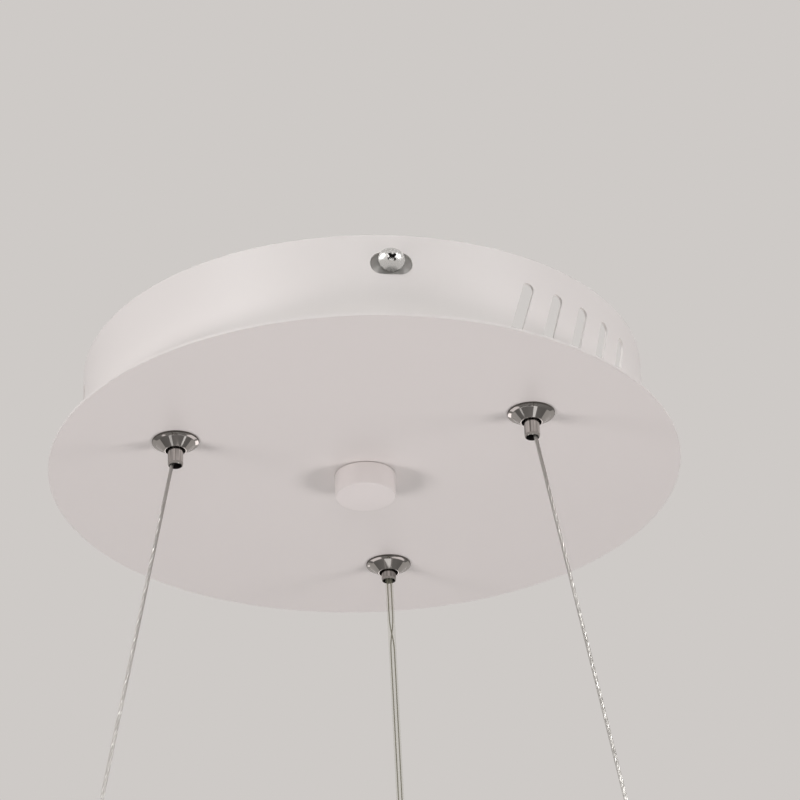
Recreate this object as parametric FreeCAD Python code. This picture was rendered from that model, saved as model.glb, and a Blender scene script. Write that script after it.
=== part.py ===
"""Ring chandelier: a ceiling canopy from which two steel wires and one clear cable carry an LED ring.

Millimetres, +Z up. The origin is on the ceiling, at the centre of the mounting bracket's flat top, and
everything hangs below it. -Y is the side with the front fixing screw, +X is on the right.
"""
import FreeCAD, Part
import math
import os

from FreeCAD import Placement, Rotation, Vector

# ---------------------------------------------------------------- driving dimensions
RUNNING_GAP = 0.05            # radial play of a sliding or turning fit
LOOSE_GAP = 0.3               # play of a piece that is simply dropped in
COAT_ROUND = 0.3              # rounding that the powder coat gives a sheet's edge

# canopy: a pressed pan with a wider disc under it
PLATE_DIAMETER = 250.0
PLATE_THICKNESS = 1.2
PAN_DIAMETER = 223.0
PAN_SHEET = 1.0
PAN_BEND = 2.0                # outer radius of the bend between wall and floor
CANOPY_DEPTH = 43.0           # from the ceiling to the disc's underside

# side slots, and fixing screws in the front one and the back one
SIDE_SLOTS = 4
SIDE_SCREWS = 2
SIDE_SLOT_DEPTH = 12.4        # of a slot's middle below the ceiling
SIDE_SCREW_DEPTH = 11.3       # of a screw's axis below the ceiling
SIDE_SLOT_LENGTH = 16.0
SIDE_SLOT_HEIGHT = 9.5

# two groups of leaning ventilation slots
VENT_GROUPS = 2
VENTS_IN_GROUP = 5
VENT_FIRST_ANGLE = 297.0
VENT_PITCH_ANGLE = 7.45
VENT_WIDTH = 5.0
VENT_LENGTH = 26.0
VENT_LEAN = 18.0
VENT_DEPTH = 23.8             # of a slot's middle below the ceiling

# mounting bracket: a pressed cross with four tabs bent down
BRACKET_SHEET = 1.5
BRACKET_ARM_WIDTH = 22.0
BRACKET_HUB_DIAMETER = 60.0
TAB_WIDTH = 18.0
TAB_HEIGHT = 22.0
TAB_CORNER = 4.0
TAB_GAP = 2.5                 # from the tabs' outer corners to the pan's wall
CABLE_ENTRY_DIAMETER = 20.0
CEILING_SLOT_SPACING = 90.0
CEILING_SLOT_LENGTH = 14.0
CEILING_SLOT_WIDTH = 5.5

# M5 side screws and their square weld nuts
SIDE_THREAD = 5.0
SIDE_HEAD_DIAMETER = 10.0
SIDE_HEAD_HEIGHT = 3.2
SIDE_SCREW_REACH = 10.0
SIDE_SCREW_TURN = 38.0        # how far round the driver left the cross recess
WELD_NUT_SIZE = 9.0
WELD_NUT_THICKNESS = 3.0

# shares of a cross-recessed head
HEAD_EDGE_SHARE = 0.35        # of the head's height, upright edge under the dome
RECESS_SPAN_SHARE = 0.52      # of the head's diameter
RECESS_DEPTH_SHARE = 0.62     # of the head's height
RECESS_ARM_SHARE = 0.24       # of the recess's span, width of an arm
RECESS_TIP_SHARE = 0.18       # of the span, radius at the bottom
RECESS_MOUTH_SHARE = 0.62     # of the span, radius at the mouth

# centre nipple, its nut and the white cap
NIPPLE_DIAMETER = 10.0
NIPPLE_BORE = 7.0
NIPPLE_ABOVE_PAN = 9.0
NIPPLE_IN_CAP = 6.5
CENTRE_NUT_ACROSS = 14.0
CENTRE_NUT_THICKNESS = 3.0
CAP_DIAMETER = 24.0
CAP_HEIGHT = 10.0
CAP_EDGE = 0.5
CAP_SHADOW_GAP = 0.4
CAP_SPIGOT_DIAMETER = 22.0

# the three line holders on the disc, 120 degrees apart
HOLDER_CIRCLE_RADIUS = 80.0
HOLDER_ANGLES = {"left": 197.6, "right": 317.6, "cable": 77.6}
FLANGE_DIAMETER = 18.4
FLANGE_RIM = 0.5              # radius of the rolled rim
CONE_HEIGHT = 4.2
LIP_RADIUS = 4.3
LIP_WALL = 0.4
LIP_POCKET_DEPTH = 2.0
SHANK_DIAMETER = 10.0
SHANK_ABOVE_DISC = 14.0       # above the disc's underside
SHANK_WALL = 1.0
SHANK_ROOF = 1.5
HOLDER_NUT_ACROSS = 14.0
HOLDER_NUT_THICKNESS = 3.0
HOLDER_WASHER_DIAMETER = 16.0
HOLDER_WASHER_THICKNESS = 1.0

# release nose of a wire gripper
NOSE_RADIUS = 3.0
NOSE_PROUD = 6.6              # below the cone's lip
NOSE_BORE = 0.95
NOSE_TRAVEL = 2.0
SHOULDER_HEIGHT = 0.6         # above the disc's underside
COLLAR_RADIUS = 3.8
COLLAR_HEIGHT = 1.0
PUSHER_RADIUS = 2.4
PUSHER_HEIGHT = NOSE_TRAVEL + 2 * LOOSE_GAP
MOUTH_RIM = 0.5
CHUCK_BALL_RADIUS = 1.0
CHUCK_BALLS = 3
CHUCK_LENGTH = 5.0
CHUCK_MOUTH_RADIUS = 3.7
SPRING_WIRE = 0.8
SPRING_RADIUS = 2.2
SPRING_TURNS = 3

# the clear cable's holder
CABLE_NOSE_PROUD = 3.6
CABLE_SLEEVE_TOP = 9.0        # above the disc's underside
CABLE_DIAMETER = 3.2

# suspension wires
WIRE_DIAMETER = 1.5
WIRE_BEND_HEIGHT = -3.0       # where a wire leaves its holder's axis, from the disc's underside
TAIL_RISE = 6.0
TAIL_REACH = 26.0
TAIL_TURN = 16.0
TAIL_CLIMB = 1.0
TAIL_INWARD = 4.0
TAIL_SIDE = {"left": 90, "right": -90}
STOP_DIAMETER = 3.0
STOP_LENGTH = 7.0

# the ring: a rolled aluminium channel with an opal strip under it
RING_DIAMETER = 400.0
RING_WIDTH = 22.0
RING_HEIGHT = 34.0
RING_SKIN = 1.5
RING_CORNER = 0.6
RING_SHELF_DEPTH = 12.0       # from the ring's top to the shelf's top
RING_SHELF = 1.5
RING_SEAM = 0.3
RING_SEAM_ANGLE = 107.6
HANG_LENGTH = 572.0           # from the wires' bend to their anchors
DIFFUSER_SKIN = 2.0
DIFFUSER_LEG = 1.2
DIFFUSER_LEG_HEIGHT = 9.0
DIFFUSER_PROUD = 0.5
LED_BOARD_WIDTH = 12.0
LED_BOARD_THICKNESS = 1.2
LED_COUNT = 96
LED_LENGTH = 3.5
LED_WIDTH = 2.8
LED_HEIGHT = 0.8
JOINER_ARC = 60.0
JOINER_HEIGHT = 6.0
JOINER_THREAD = 3.0
JOINER_HEAD = 5.6
JOINER_RECESS_DEPTH = 1.2
JOINER_SCREW_SHARES = (-0.75, -0.3, 0.3, 0.75)   # of half the joiner's length

# anchors on the ring
ANCHOR_RADIUS = 4.5
ANCHOR_HEIGHT = 10.0
ANCHOR_EDGE = 0.8
ANCHOR_THREAD = 6.0
SLIDE_NUT_LENGTH = 12.0
SLIDE_NUT_THICKNESS = 3.5
CRIMP_RADIUS = 1.6
CRIMP_LENGTH = 6.0
ANCHOR_SEAT_HEIGHT = 3.0      # of a wire's end above the ring's top

# driver and wiring inside the canopy
DRIVER_CENTRE = (-8.0, 40.0)
DRIVER_LENGTH = 105.0
DRIVER_WIDTH = 40.0
DRIVER_BASE_HEIGHT = 12.0
DRIVER_COVER_HEIGHT = 12.0
DRIVER_WALL = 1.6
DRIVER_EAR = 10.0
DRIVER_EAR_THICKNESS = 2.0
DRIVER_SCREW = 3.5
DRIVER_HEAD_DIAMETER = 7.0
DRIVER_HEAD_HEIGHT = 2.1
BOARD_THICKNESS = 1.6
BOARD_POST_HEIGHT = 3.0
BOARD_POST_SIZE = 4.0
TRANSFORMER_SIZE = (20.0, 18.0, 14.0)
TRANSFORMER_WINDOW = (10.0, 3.6, 7.0)
CAPACITOR_DIAMETER = 8.0
CAPACITOR_HEIGHT = 13.0
CAPACITOR_PITCH = 10.0
CAPACITORS = 3
TERMINAL_FROM_DRIVER = 27.5   # from the driver's left end to the block's centre
TERMINAL_SIZE = (22.0, 16.0, 14.0)
TERMINAL_POLES = 3
TERMINAL_SCREW = 3.0
TERMINAL_SCREW_SUNK = 1.0
TERMINAL_SLOT_WIDTH = 0.6
TERMINAL_SLOT_DEPTH = 0.6
MAINS_LEAD_DIAMETER = 3.0
MAINS_CORNER = 11.0           # cut off the corner between the block and the driver
CABLE_RUN_IN = 9.5            # straight into the driver, before the loop
CABLE_LOOP_CORNERS = 6
CABLE_LOOP_FALL = 12.0
CABLE_REACH = 19.0            # sideways from the holder to the start of the loop
CABLE_RISE = 2.0
EARTH_LEAD_DIAMETER = 2.0
EARTH_RUN_HIGH = 12.0         # straight out of the upper eyelet
EARTH_TURN_HIGH = 20.0        # how far out the lead turns down
EARTH_RUN_LOW = 10.0          # straight out of the lower eyelet
EARTH_TURN_LOW = 18.0         # how far out the lead turns up
EARTH_DROP = 10.0
EARTH_LIFT = 6.0
EARTH_SCREW = 4.0
EARTH_HEAD_DIAMETER = 7.0
EARTH_HEAD_HEIGHT = 2.4
EARTH_EYELET = 8.0
EYELET_THICKNESS = 0.8
EYELET_REACH = 9.0
EARTH_BRACKET_PLACE = (0.0, -45.0)
EARTH_PAN_PLACE = (24.0, -62.0)
EARTH_UPPER_HEADING = 250.0
EARTH_LOWER_HEADING = 200.0

# ---------------------------------------------------------------- levels and radii that follow
DISC_UNDERSIDE = -CANOPY_DEPTH
DISC_TOP = DISC_UNDERSIDE + PLATE_THICKNESS
PAN_FLOOR = DISC_TOP + PAN_SHEET
PAN_RADIUS = PAN_DIAMETER / 2
PAN_INSIDE = PAN_RADIUS - PAN_SHEET
LIP_LEVEL = -CONE_HEIGHT
NOSE_END = LIP_LEVEL - NOSE_PROUD
CABLE_NOSE_END = LIP_LEVEL - CABLE_NOSE_PROUD
CHAMBER_RADIUS = SHANK_DIAMETER / 2 - SHANK_WALL
CHAMBER_TOP = SHANK_ABOVE_DISC - SHANK_ROOF
WIRE_RADIUS = WIRE_DIAMETER / 2
CABLE_RADIUS = CABLE_DIAMETER / 2
RING_OUTSIDE = RING_DIAMETER / 2
RING_INSIDE = RING_OUTSIDE - RING_WIDTH
RING_MIDDLE = RING_OUTSIDE - RING_WIDTH / 2
BEND_LEVEL = DISC_UNDERSIDE + WIRE_BEND_HEIGHT
SEAT_LEVEL = BEND_LEVEL - HANG_LENGTH
RING_TOP = SEAT_LEVEL - ANCHOR_SEAT_HEIGHT
RING_BOTTOM = RING_TOP - RING_HEIGHT
SHELF_TOP = RING_TOP - RING_SHELF_DEPTH
SHELF_UNDERSIDE = SHELF_TOP - RING_SHELF
WIRE_SLOPE = (RING_MIDDLE - HOLDER_CIRCLE_RADIUS) / HANG_LENGTH
TAB_FACE = math.sqrt((PAN_INSIDE - TAB_GAP) ** 2 - (BRACKET_ARM_WIDTH / 2) ** 2)
PUSHER_TOP = SHOULDER_HEIGHT + COLLAR_HEIGHT + PUSHER_HEIGHT
JOINER_LOW = RING_TOP - RING_SKIN - JOINER_HEIGHT
SLIDE_NUT_LOW = RING_TOP - RING_SKIN - SLIDE_NUT_THICKNESS
DRIVER_SPLIT = PAN_FLOOR + DRIVER_BASE_HEIGHT
DRIVER_TOP = DRIVER_SPLIT + DRIVER_COVER_HEIGHT
DRIVER_LEFT = DRIVER_CENTRE[0] - DRIVER_LENGTH / 2
DRIVER_RIGHT = DRIVER_CENTRE[0] + DRIVER_LENGTH / 2
DRIVER_LEAD_LEVEL = DRIVER_SPLIT + DRIVER_COVER_HEIGHT / 3
BOARD_LOW = PAN_FLOOR + DRIVER_WALL + BOARD_POST_HEIGHT
BOARD_TOP = BOARD_LOW + BOARD_THICKNESS
TERMINAL_CENTRE = (DRIVER_LEFT - TERMINAL_FROM_DRIVER, 0.0)
TERMINAL_TOP = PAN_FLOOR + TERMINAL_SIZE[2]
TERMINAL_MIDDLE = PAN_FLOOR + TERMINAL_SIZE[2] / 2

UP = Vector(0, 0, 1)
OUTWARD = Vector(1, 0, 0)
parts = {}


# ---------------------------------------------------------------- building blocks
def rod(radius, low, high, x=0.0, y=0.0):
    """A round bar on a vertical axis between two levels."""
    return Part.makeCylinder(radius, high - low, Vector(x, y, low), UP)


def cone(radius_low, radius_high, low, high):
    return Part.makeCone(radius_low, radius_high, high - low, Vector(0, 0, low), UP)


def block(x_low, x_high, y_low, y_high, low, high):
    return Part.makeBox(x_high - x_low, y_high - y_low, high - low, Vector(x_low, y_low, low))


def centred_block(size_x, size_y, low, high, x=0.0, y=0.0):
    return block(x - size_x / 2, x + size_x / 2, y - size_y / 2, y + size_y / 2, low, high)


def turned(points, degrees=360.0):
    """The solid that a closed outline of (radius, height) points sweeps about the vertical axis."""
    corners = [Vector(radius, 0, height) for radius, height in points]
    outline = Part.makePolygon(corners + [corners[0]])
    return Part.Face(outline).revolve(Vector(0, 0, 0), UP, degrees)


def spun(shape, degrees):
    """A copy turned about the vertical axis through the origin."""
    copy = shape.copy()
    copy.Placement = Placement(Vector(0, 0, 0), Rotation(UP, degrees)).multiply(copy.Placement)
    return copy


def moved(shape, x=0.0, y=0.0, z=0.0):
    copy = shape.copy()
    copy.translate(Vector(x, y, z))
    return copy


def at_polar(shape, radius, degrees, z=0.0):
    """A copy of a piece drawn at the origin with its outer side on +X, set at a radius and an angle."""
    return spun(moved(shape, radius, 0, z), degrees)


def hexagon(across, low, high):
    corner = across / math.sqrt(3)
    points = [Vector(corner * math.cos(math.radians(60 * i)), corner * math.sin(math.radians(60 * i)), low)
              for i in range(6)]
    return Part.Face(Part.makePolygon(points + [points[0]])).extrude(Vector(0, 0, high - low))


def slot_cutter(length, width, depth):
    """A round-ended slot, long along X, cut through from z = 0 up to depth."""
    straight = length - width
    body = centred_block(straight, width, 0, depth)
    for side in (-1, 1):
        body = body.fuse(rod(width / 2, 0, depth, side * straight / 2))
    return body.removeSplitter()


def cross_recess(size, depth):
    """The cutter of a cross recess, pointing down from z = 0."""
    width = size * RECESS_ARM_SHARE
    arms = centred_block(size, width, -depth, depth).fuse(centred_block(width, size, -depth, depth))
    return arms.common(cone(size * RECESS_TIP_SHARE, size * RECESS_MOUTH_SHARE, -depth, depth))


def pan_head_screw(thread, reach, head_diameter, head_height):
    """A cross-recessed screw that points down, with its head's seat at z = 0."""
    radius = head_diameter / 2
    dome_height = head_height * (1 - HEAD_EDGE_SHARE)
    dome_radius = (radius ** 2 + dome_height ** 2) / (2 * dome_height)
    dome = Part.makeSphere(dome_radius, Vector(0, 0, head_height - dome_radius))
    head = rod(radius, 0, head_height).common(dome)
    recess = cross_recess(head_diameter * RECESS_SPAN_SHARE, head_height * RECESS_DEPTH_SHARE)
    recess = moved(recess, 0, 0, head_height)
    return head.fuse(rod(thread / 2, -reach, 0)).removeSplitter().cut(recess)


def lead(points, diameter):
    """A round cord along straight runs joined by tangent arcs, each as large as its runs allow."""
    route = [Vector(*point) for point in points]
    edges = []
    radii = []
    start = route[0]
    for before, corner, after in zip(route, route[1:], route[2:]):
        into = (corner - before).normalize()
        out = (after - corner).normalize()
        turn = into.getAngle(out)
        setback = 0.45 * min((corner - before).Length, (after - corner).Length)
        radii.append(setback / math.tan(turn / 2))
        arc_start = corner - into * setback
        arc_end = corner + out * setback
        inward = (out - into).normalize()
        centre_distance = radii[-1] / math.cos(turn / 2)
        arc_middle = corner + inward * (centre_distance - radii[-1])
        edges.append(Part.LineSegment(start, arc_start).toShape())
        edges.append(Part.Arc(arc_start, arc_middle, arc_end).toShape())
        start = arc_end
    edges.append(Part.LineSegment(start, route[-1]).toShape())
    path = Part.Wire(edges)
    first_run = (route[1] - route[0]).normalize()
    section = Part.Wire(Part.makeCircle(diameter / 2, route[0], first_run))
    cord = path.makePipeShell([section], True, False)
    expected = math.pi * diameter ** 2 / 4 * path.Length
    print("cord %.1f mm long, radii %s, volume %.4f of the sum" % (
        path.Length, " ".join("%.1f" % r for r in radii), cord.Volume / expected))
    return cord


def straight_line(radius, angle, name):
    """A taut line from its holder's bend down to its anchor on the ring, with level ends."""
    top = spun_point(HOLDER_CIRCLE_RADIUS, angle, BEND_LEVEL)
    foot = spun_point(RING_MIDDLE, angle, SEAT_LEVEL)
    print("%s %.1f mm long" % (name, (foot - top).Length))
    end = Part.Face(Part.Wire(Part.makeCircle(radius, top, UP)))
    return end.extrude(foot - top)


def spun_point(radius, degrees, z):
    angle = math.radians(degrees)
    return Vector(radius * math.cos(angle), radius * math.sin(angle), z)


def group(shapes):
    return Part.makeCompound(shapes)


def edges_at(shape, level):
    """The edges that lie level at one height."""
    return [edge for edge in shape.Edges
            if abs(edge.BoundBox.ZMax - level) < 0.01 and edge.BoundBox.ZLength < 0.01]


# ---------------------------------------------------------------- canopy sheet metal
def wall_slot_cutter(length, width, lean, angle, depth):
    """A round-ended slot through the pan's wall, centred at an angle and a depth below the ceiling.

    A lean of 0 is upright, a positive one takes the top round with rising angle, and 90 is level.
    """
    slot = moved(slot_cutter(length, width, 4 * PAN_SHEET), 0, 0, -2 * PAN_SHEET)
    slot.rotate(Vector(0, 0, 0), Vector(0, 1, 0), -90)
    slot.rotate(Vector(0, 0, 0), Vector(1, 0, 0), -lean)
    return at_polar(slot, PAN_RADIUS - PAN_SHEET / 2, angle, -depth)


def side_angles(count):
    """Angles spread evenly round the canopy, from the front."""
    return [270.0 + 360.0 / count * i for i in range(count)]


def holder_holes(low, high):
    radius = SHANK_DIAMETER / 2 + RUNNING_GAP
    hole = rod(radius, low, high)
    return [at_polar(hole, HOLDER_CIRCLE_RADIUS, angle) for angle in HOLDER_ANGLES.values()]


def make_canopy_plate():
    plate = rod(PLATE_DIAMETER / 2, DISC_UNDERSIDE, DISC_TOP)
    plate = plate.makeFillet(COAT_ROUND, edges_at(plate, DISC_UNDERSIDE) + edges_at(plate, DISC_TOP))
    plate = plate.cut(rod(NIPPLE_DIAMETER / 2 + RUNNING_GAP, DISC_UNDERSIDE, DISC_TOP))
    for hole in holder_holes(DISC_UNDERSIDE, DISC_TOP):
        plate = plate.cut(hole)
    return plate


def make_canopy_pan():
    pan = rod(PAN_RADIUS, DISC_TOP, 0)
    pan = pan.makeFillet(PAN_BEND, edges_at(pan, DISC_TOP))
    pan = pan.makeFillet(COAT_ROUND, edges_at(pan, 0))
    hollow = rod(PAN_INSIDE, PAN_FLOOR, PAN_SHEET)
    pan = pan.cut(hollow.makeFillet(PAN_BEND - PAN_SHEET, edges_at(hollow, PAN_FLOOR)))
    pan = pan.cut(rod(NIPPLE_DIAMETER / 2 + RUNNING_GAP, DISC_TOP, PAN_FLOOR))
    for hole in holder_holes(DISC_TOP, PAN_FLOOR):
        pan = pan.cut(hole)
    for x, y in driver_screw_places():
        pan = pan.cut(rod(DRIVER_SCREW / 2 + RUNNING_GAP, DISC_TOP, PAN_FLOOR, x, y))
    pan = pan.cut(rod(EARTH_SCREW / 2 + RUNNING_GAP, DISC_TOP, PAN_FLOOR, *EARTH_PAN_PLACE))
    for angle in side_angles(SIDE_SLOTS):
        pan = pan.cut(wall_slot_cutter(SIDE_SLOT_LENGTH, SIDE_SLOT_HEIGHT, 90, angle, SIDE_SLOT_DEPTH))
    for group_index in range(VENT_GROUPS):
        for index in range(VENTS_IN_GROUP):
            angle = VENT_FIRST_ANGLE + 360.0 / VENT_GROUPS * group_index + VENT_PITCH_ANGLE * index
            pan = pan.cut(wall_slot_cutter(VENT_LENGTH, VENT_WIDTH, VENT_LEAN, angle, VENT_DEPTH))
    return pan


# ---------------------------------------------------------------- mounting bracket
def bracket_arm():
    """One arm along +X with its tab bent down at the end."""
    arm = block(0, TAB_FACE, -BRACKET_ARM_WIDTH / 2, BRACKET_ARM_WIDTH / 2, -BRACKET_SHEET, 0)
    tab = block(TAB_FACE - BRACKET_SHEET, TAB_FACE, -TAB_WIDTH / 2, TAB_WIDTH / 2, -TAB_HEIGHT, 0)
    corners = [edge for edge in tab.Edges
               if abs(edge.BoundBox.XLength - BRACKET_SHEET) < 0.01 and edge.BoundBox.ZMax < -BRACKET_SHEET]
    tab = tab.makeFillet(TAB_CORNER, corners)
    hole_start = Vector(TAB_FACE - BRACKET_SHEET, 0, -SIDE_SCREW_DEPTH)
    hole = Part.makeCylinder(SIDE_THREAD / 2, BRACKET_SHEET, hole_start, OUTWARD)
    return arm.fuse(tab).cut(hole)


def make_mounting_bracket():
    bracket = rod(BRACKET_HUB_DIAMETER / 2, -BRACKET_SHEET, 0)
    for angle in side_angles(SIDE_SLOTS):
        bracket = bracket.fuse(spun(bracket_arm(), angle))
    bracket = bracket.removeSplitter()
    bracket = bracket.cut(rod(CABLE_ENTRY_DIAMETER / 2, -BRACKET_SHEET, 0))
    for side in (-1, 1):
        slot = slot_cutter(CEILING_SLOT_LENGTH, CEILING_SLOT_WIDTH, BRACKET_SHEET)
        bracket = bracket.cut(moved(slot, side * CEILING_SLOT_SPACING / 2, 0, -BRACKET_SHEET))
    return bracket.cut(rod(EARTH_SCREW / 2, -BRACKET_SHEET, 0, *EARTH_BRACKET_PLACE))


def make_weld_nuts():
    """Square nuts on the inner face of the tabs."""
    outer = TAB_FACE - BRACKET_SHEET
    inner = outer - WELD_NUT_THICKNESS
    half = WELD_NUT_SIZE / 2
    nut = block(inner, outer, -half, half, -SIDE_SCREW_DEPTH - half, -SIDE_SCREW_DEPTH + half)
    bore_start = Vector(inner, 0, -SIDE_SCREW_DEPTH)
    bore = Part.makeCylinder(SIDE_THREAD / 2, WELD_NUT_THICKNESS, bore_start, OUTWARD)
    return group([spun(nut.cut(bore), angle) for angle in side_angles(SIDE_SLOTS)])


def make_side_screws():
    """The screws' heads bear on the pan's wall over the slots and their shanks reach the weld nuts."""
    screw = pan_head_screw(SIDE_THREAD, SIDE_SCREW_REACH, SIDE_HEAD_DIAMETER, SIDE_HEAD_HEIGHT)
    screw.rotate(Vector(0, 0, 0), UP, SIDE_SCREW_TURN)
    screw.rotate(Vector(0, 0, 0), Vector(0, 1, 0), 90)
    return group([at_polar(screw, PAN_RADIUS, angle, -SIDE_SCREW_DEPTH)
                  for angle in side_angles(SIDE_SCREWS)])


# ---------------------------------------------------------------- centre fixing
def make_centre_nipple():
    low = DISC_UNDERSIDE - NIPPLE_IN_CAP
    high = PAN_FLOOR + NIPPLE_ABOVE_PAN
    return rod(NIPPLE_DIAMETER / 2, low, high).cut(rod(NIPPLE_BORE / 2, low, high))


def make_centre_nut():
    low = PAN_FLOOR
    high = PAN_FLOOR + CENTRE_NUT_THICKNESS
    return hexagon(CENTRE_NUT_ACROSS, low, high).cut(rod(NIPPLE_DIAMETER / 2, low, high))


def make_centre_cap():
    """A plain white cap, with a narrow spigot that leaves a dark line under the disc."""
    radius = CAP_DIAMETER / 2
    bottom = DISC_UNDERSIDE - CAP_HEIGHT
    body = turned([
        (0, bottom), (radius - CAP_EDGE, bottom), (radius, bottom + CAP_EDGE),
        (radius, DISC_UNDERSIDE - CAP_SHADOW_GAP), (CAP_SPIGOT_DIAMETER / 2, DISC_UNDERSIDE - CAP_SHADOW_GAP),
        (CAP_SPIGOT_DIAMETER / 2, DISC_UNDERSIDE), (0, DISC_UNDERSIDE)])
    return body.cut(rod(NIPPLE_DIAMETER / 2, DISC_UNDERSIDE - NIPPLE_IN_CAP, DISC_UNDERSIDE))


# ---------------------------------------------------------------- line holders, drawn with the disc's
# underside at z = 0 and their axis at the origin
def holder_outside():
    """Cone, rolled rim and threaded shank."""
    rim_radius = FLANGE_DIAMETER / 2
    bead = Part.makeTorus(rim_radius - FLANGE_RIM, FLANGE_RIM, Vector(0, 0, -FLANGE_RIM), UP)
    skirt = turned([
        (0, 0), (rim_radius - FLANGE_RIM, 0), (rim_radius - FLANGE_RIM, -2 * FLANGE_RIM),
        (rim_radius - 3 * FLANGE_RIM, -2 * FLANGE_RIM), (LIP_RADIUS, LIP_LEVEL), (0, LIP_LEVEL)])
    return skirt.fuse(bead).fuse(rod(SHANK_DIAMETER / 2, 0, SHANK_ABOVE_DISC)).removeSplitter()


def make_gripper_body():
    body = holder_outside()
    body = body.cut(rod(LIP_RADIUS - LIP_WALL, LIP_LEVEL, LIP_LEVEL + LIP_POCKET_DEPTH))
    body = body.cut(rod(NOSE_RADIUS + RUNNING_GAP, LIP_LEVEL, SHOULDER_HEIGHT))
    body = body.cut(rod(CHAMBER_RADIUS, SHOULDER_HEIGHT, CHAMBER_TOP))
    return body.cut(rod(NOSE_BORE, CHAMBER_TOP, SHANK_ABOVE_DISC))


def make_release_nose():
    """The plunger that is pushed up to free the wire: a nose, a collar and a pusher tube."""
    collar_top = SHOULDER_HEIGHT + COLLAR_HEIGHT
    nose = rod(NOSE_RADIUS, NOSE_END, collar_top)
    nose = nose.fuse(rod(COLLAR_RADIUS, SHOULDER_HEIGHT, collar_top))
    nose = nose.fuse(rod(PUSHER_RADIUS, collar_top, collar_top + PUSHER_HEIGHT)).removeSplitter()
    nose = nose.cut(rod(NOSE_BORE, NOSE_END, collar_top + PUSHER_HEIGHT))
    return nose.cut(cone(NOSE_RADIUS - MOUTH_RIM, NOSE_BORE, NOSE_END, WIRE_BEND_HEIGHT))


def make_chuck_sleeve():
    """The tapered ring that the balls wedge in."""
    low = PUSHER_TOP - LOOSE_GAP
    high = low + CHUCK_LENGTH
    sleeve = rod(CHAMBER_RADIUS, low, high)
    throat = WIRE_RADIUS + 2 * CHUCK_BALL_RADIUS + 4 * RUNNING_GAP
    return sleeve.cut(cone(throat, CHUCK_MOUTH_RADIUS, low, high))


def make_chuck_balls():
    orbit = WIRE_RADIUS + CHUCK_BALL_RADIUS + RUNNING_GAP
    height = PUSHER_TOP + CHUCK_BALL_RADIUS
    balls = []
    for index in range(CHUCK_BALLS):
        ball = Part.makeSphere(CHUCK_BALL_RADIUS, Vector(orbit, 0, height))
        balls.append(spun(ball, 360.0 / CHUCK_BALLS * index))
    return balls


def make_release_spring():
    """A coil between the balls and the shank's roof."""
    low = PUSHER_TOP + 2 * CHUCK_BALL_RADIUS + SPRING_WIRE / 2
    high = CHAMBER_TOP - SPRING_WIRE / 2
    pitch = (high - low) / SPRING_TURNS
    path = Part.Wire(Part.makeHelix(pitch, high - low, SPRING_RADIUS).Edges)
    start = Vector(SPRING_RADIUS, 0, 0)
    rise = Vector(0, 2 * math.pi * SPRING_RADIUS, pitch)
    section = Part.Wire(Part.makeCircle(SPRING_WIRE / 2, start, rise))
    return moved(path.makePipeShell([section], True, True), 0, 0, low)


def holder_nut():
    low = PLATE_THICKNESS + PAN_SHEET + HOLDER_WASHER_THICKNESS
    nut = hexagon(HOLDER_NUT_ACROSS, low, low + HOLDER_NUT_THICKNESS)
    return nut.cut(rod(SHANK_DIAMETER / 2, low, low + HOLDER_NUT_THICKNESS))


def holder_washer():
    low = PLATE_THICKNESS + PAN_SHEET
    high = low + HOLDER_WASHER_THICKNESS
    return rod(HOLDER_WASHER_DIAMETER / 2, low, high).cut(rod(SHANK_DIAMETER / 2 + RUNNING_GAP, low, high))


def make_cable_holder():
    """The same cone as a gripper, bored for the cable's clamping sleeve."""
    body = holder_outside()
    body = body.cut(rod(LIP_RADIUS - LIP_WALL, LIP_LEVEL, LIP_LEVEL + LIP_POCKET_DEPTH))
    return body.cut(rod(NOSE_RADIUS, LIP_LEVEL, SHANK_ABOVE_DISC))


def make_cable_sleeve():
    """A fixed sleeve that is screwed up into the holder and closes on the cable."""
    sleeve = rod(NOSE_RADIUS, CABLE_NOSE_END, CABLE_SLEEVE_TOP)
    sleeve = sleeve.cut(rod(CABLE_RADIUS + RUNNING_GAP, CABLE_NOSE_END, CABLE_SLEEVE_TOP))
    mouth_depth = WIRE_BEND_HEIGHT - CABLE_NOSE_END
    mouth = CABLE_RADIUS + RUNNING_GAP + WIRE_SLOPE * mouth_depth + RUNNING_GAP
    return sleeve.cut(cone(mouth, CABLE_RADIUS + RUNNING_GAP, CABLE_NOSE_END, WIRE_BEND_HEIGHT))


def at_holder(shape, name):
    return at_polar(shape, HOLDER_CIRCLE_RADIUS, HOLDER_ANGLES[name], DISC_UNDERSIDE)


def wire_tail(name):
    """The spare end of a wire: up out of the gripper, then bent over and lying level in the pan."""
    angle = HOLDER_ANGLES[name]
    turn_level = DISC_UNDERSIDE + SHANK_ABOVE_DISC + TAIL_RISE
    foot = spun_point(HOLDER_CIRCLE_RADIUS, angle, BEND_LEVEL)
    knee = spun_point(HOLDER_CIRCLE_RADIUS, angle, turn_level)
    inward = spun_point(-1, angle, 0)
    sideways = spun_point(1, angle + TAIL_SIDE[name], 0)
    elbow = knee + inward * TAIL_TURN + UP * TAIL_CLIMB
    end = elbow + sideways * TAIL_REACH + inward * TAIL_INWARD
    return [foot, knee, elbow, end]


def make_wire_tail(name):
    return lead(wire_tail(name), WIRE_DIAMETER)


def make_wire_stop(name):
    """The crimped sleeve that keeps the spare end from slipping back through the gripper."""
    route = wire_tail(name)
    direction = (route[-1] - route[-2]).normalize()
    return Part.makeCylinder(STOP_DIAMETER / 2, STOP_LENGTH, route[-1], direction)


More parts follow.
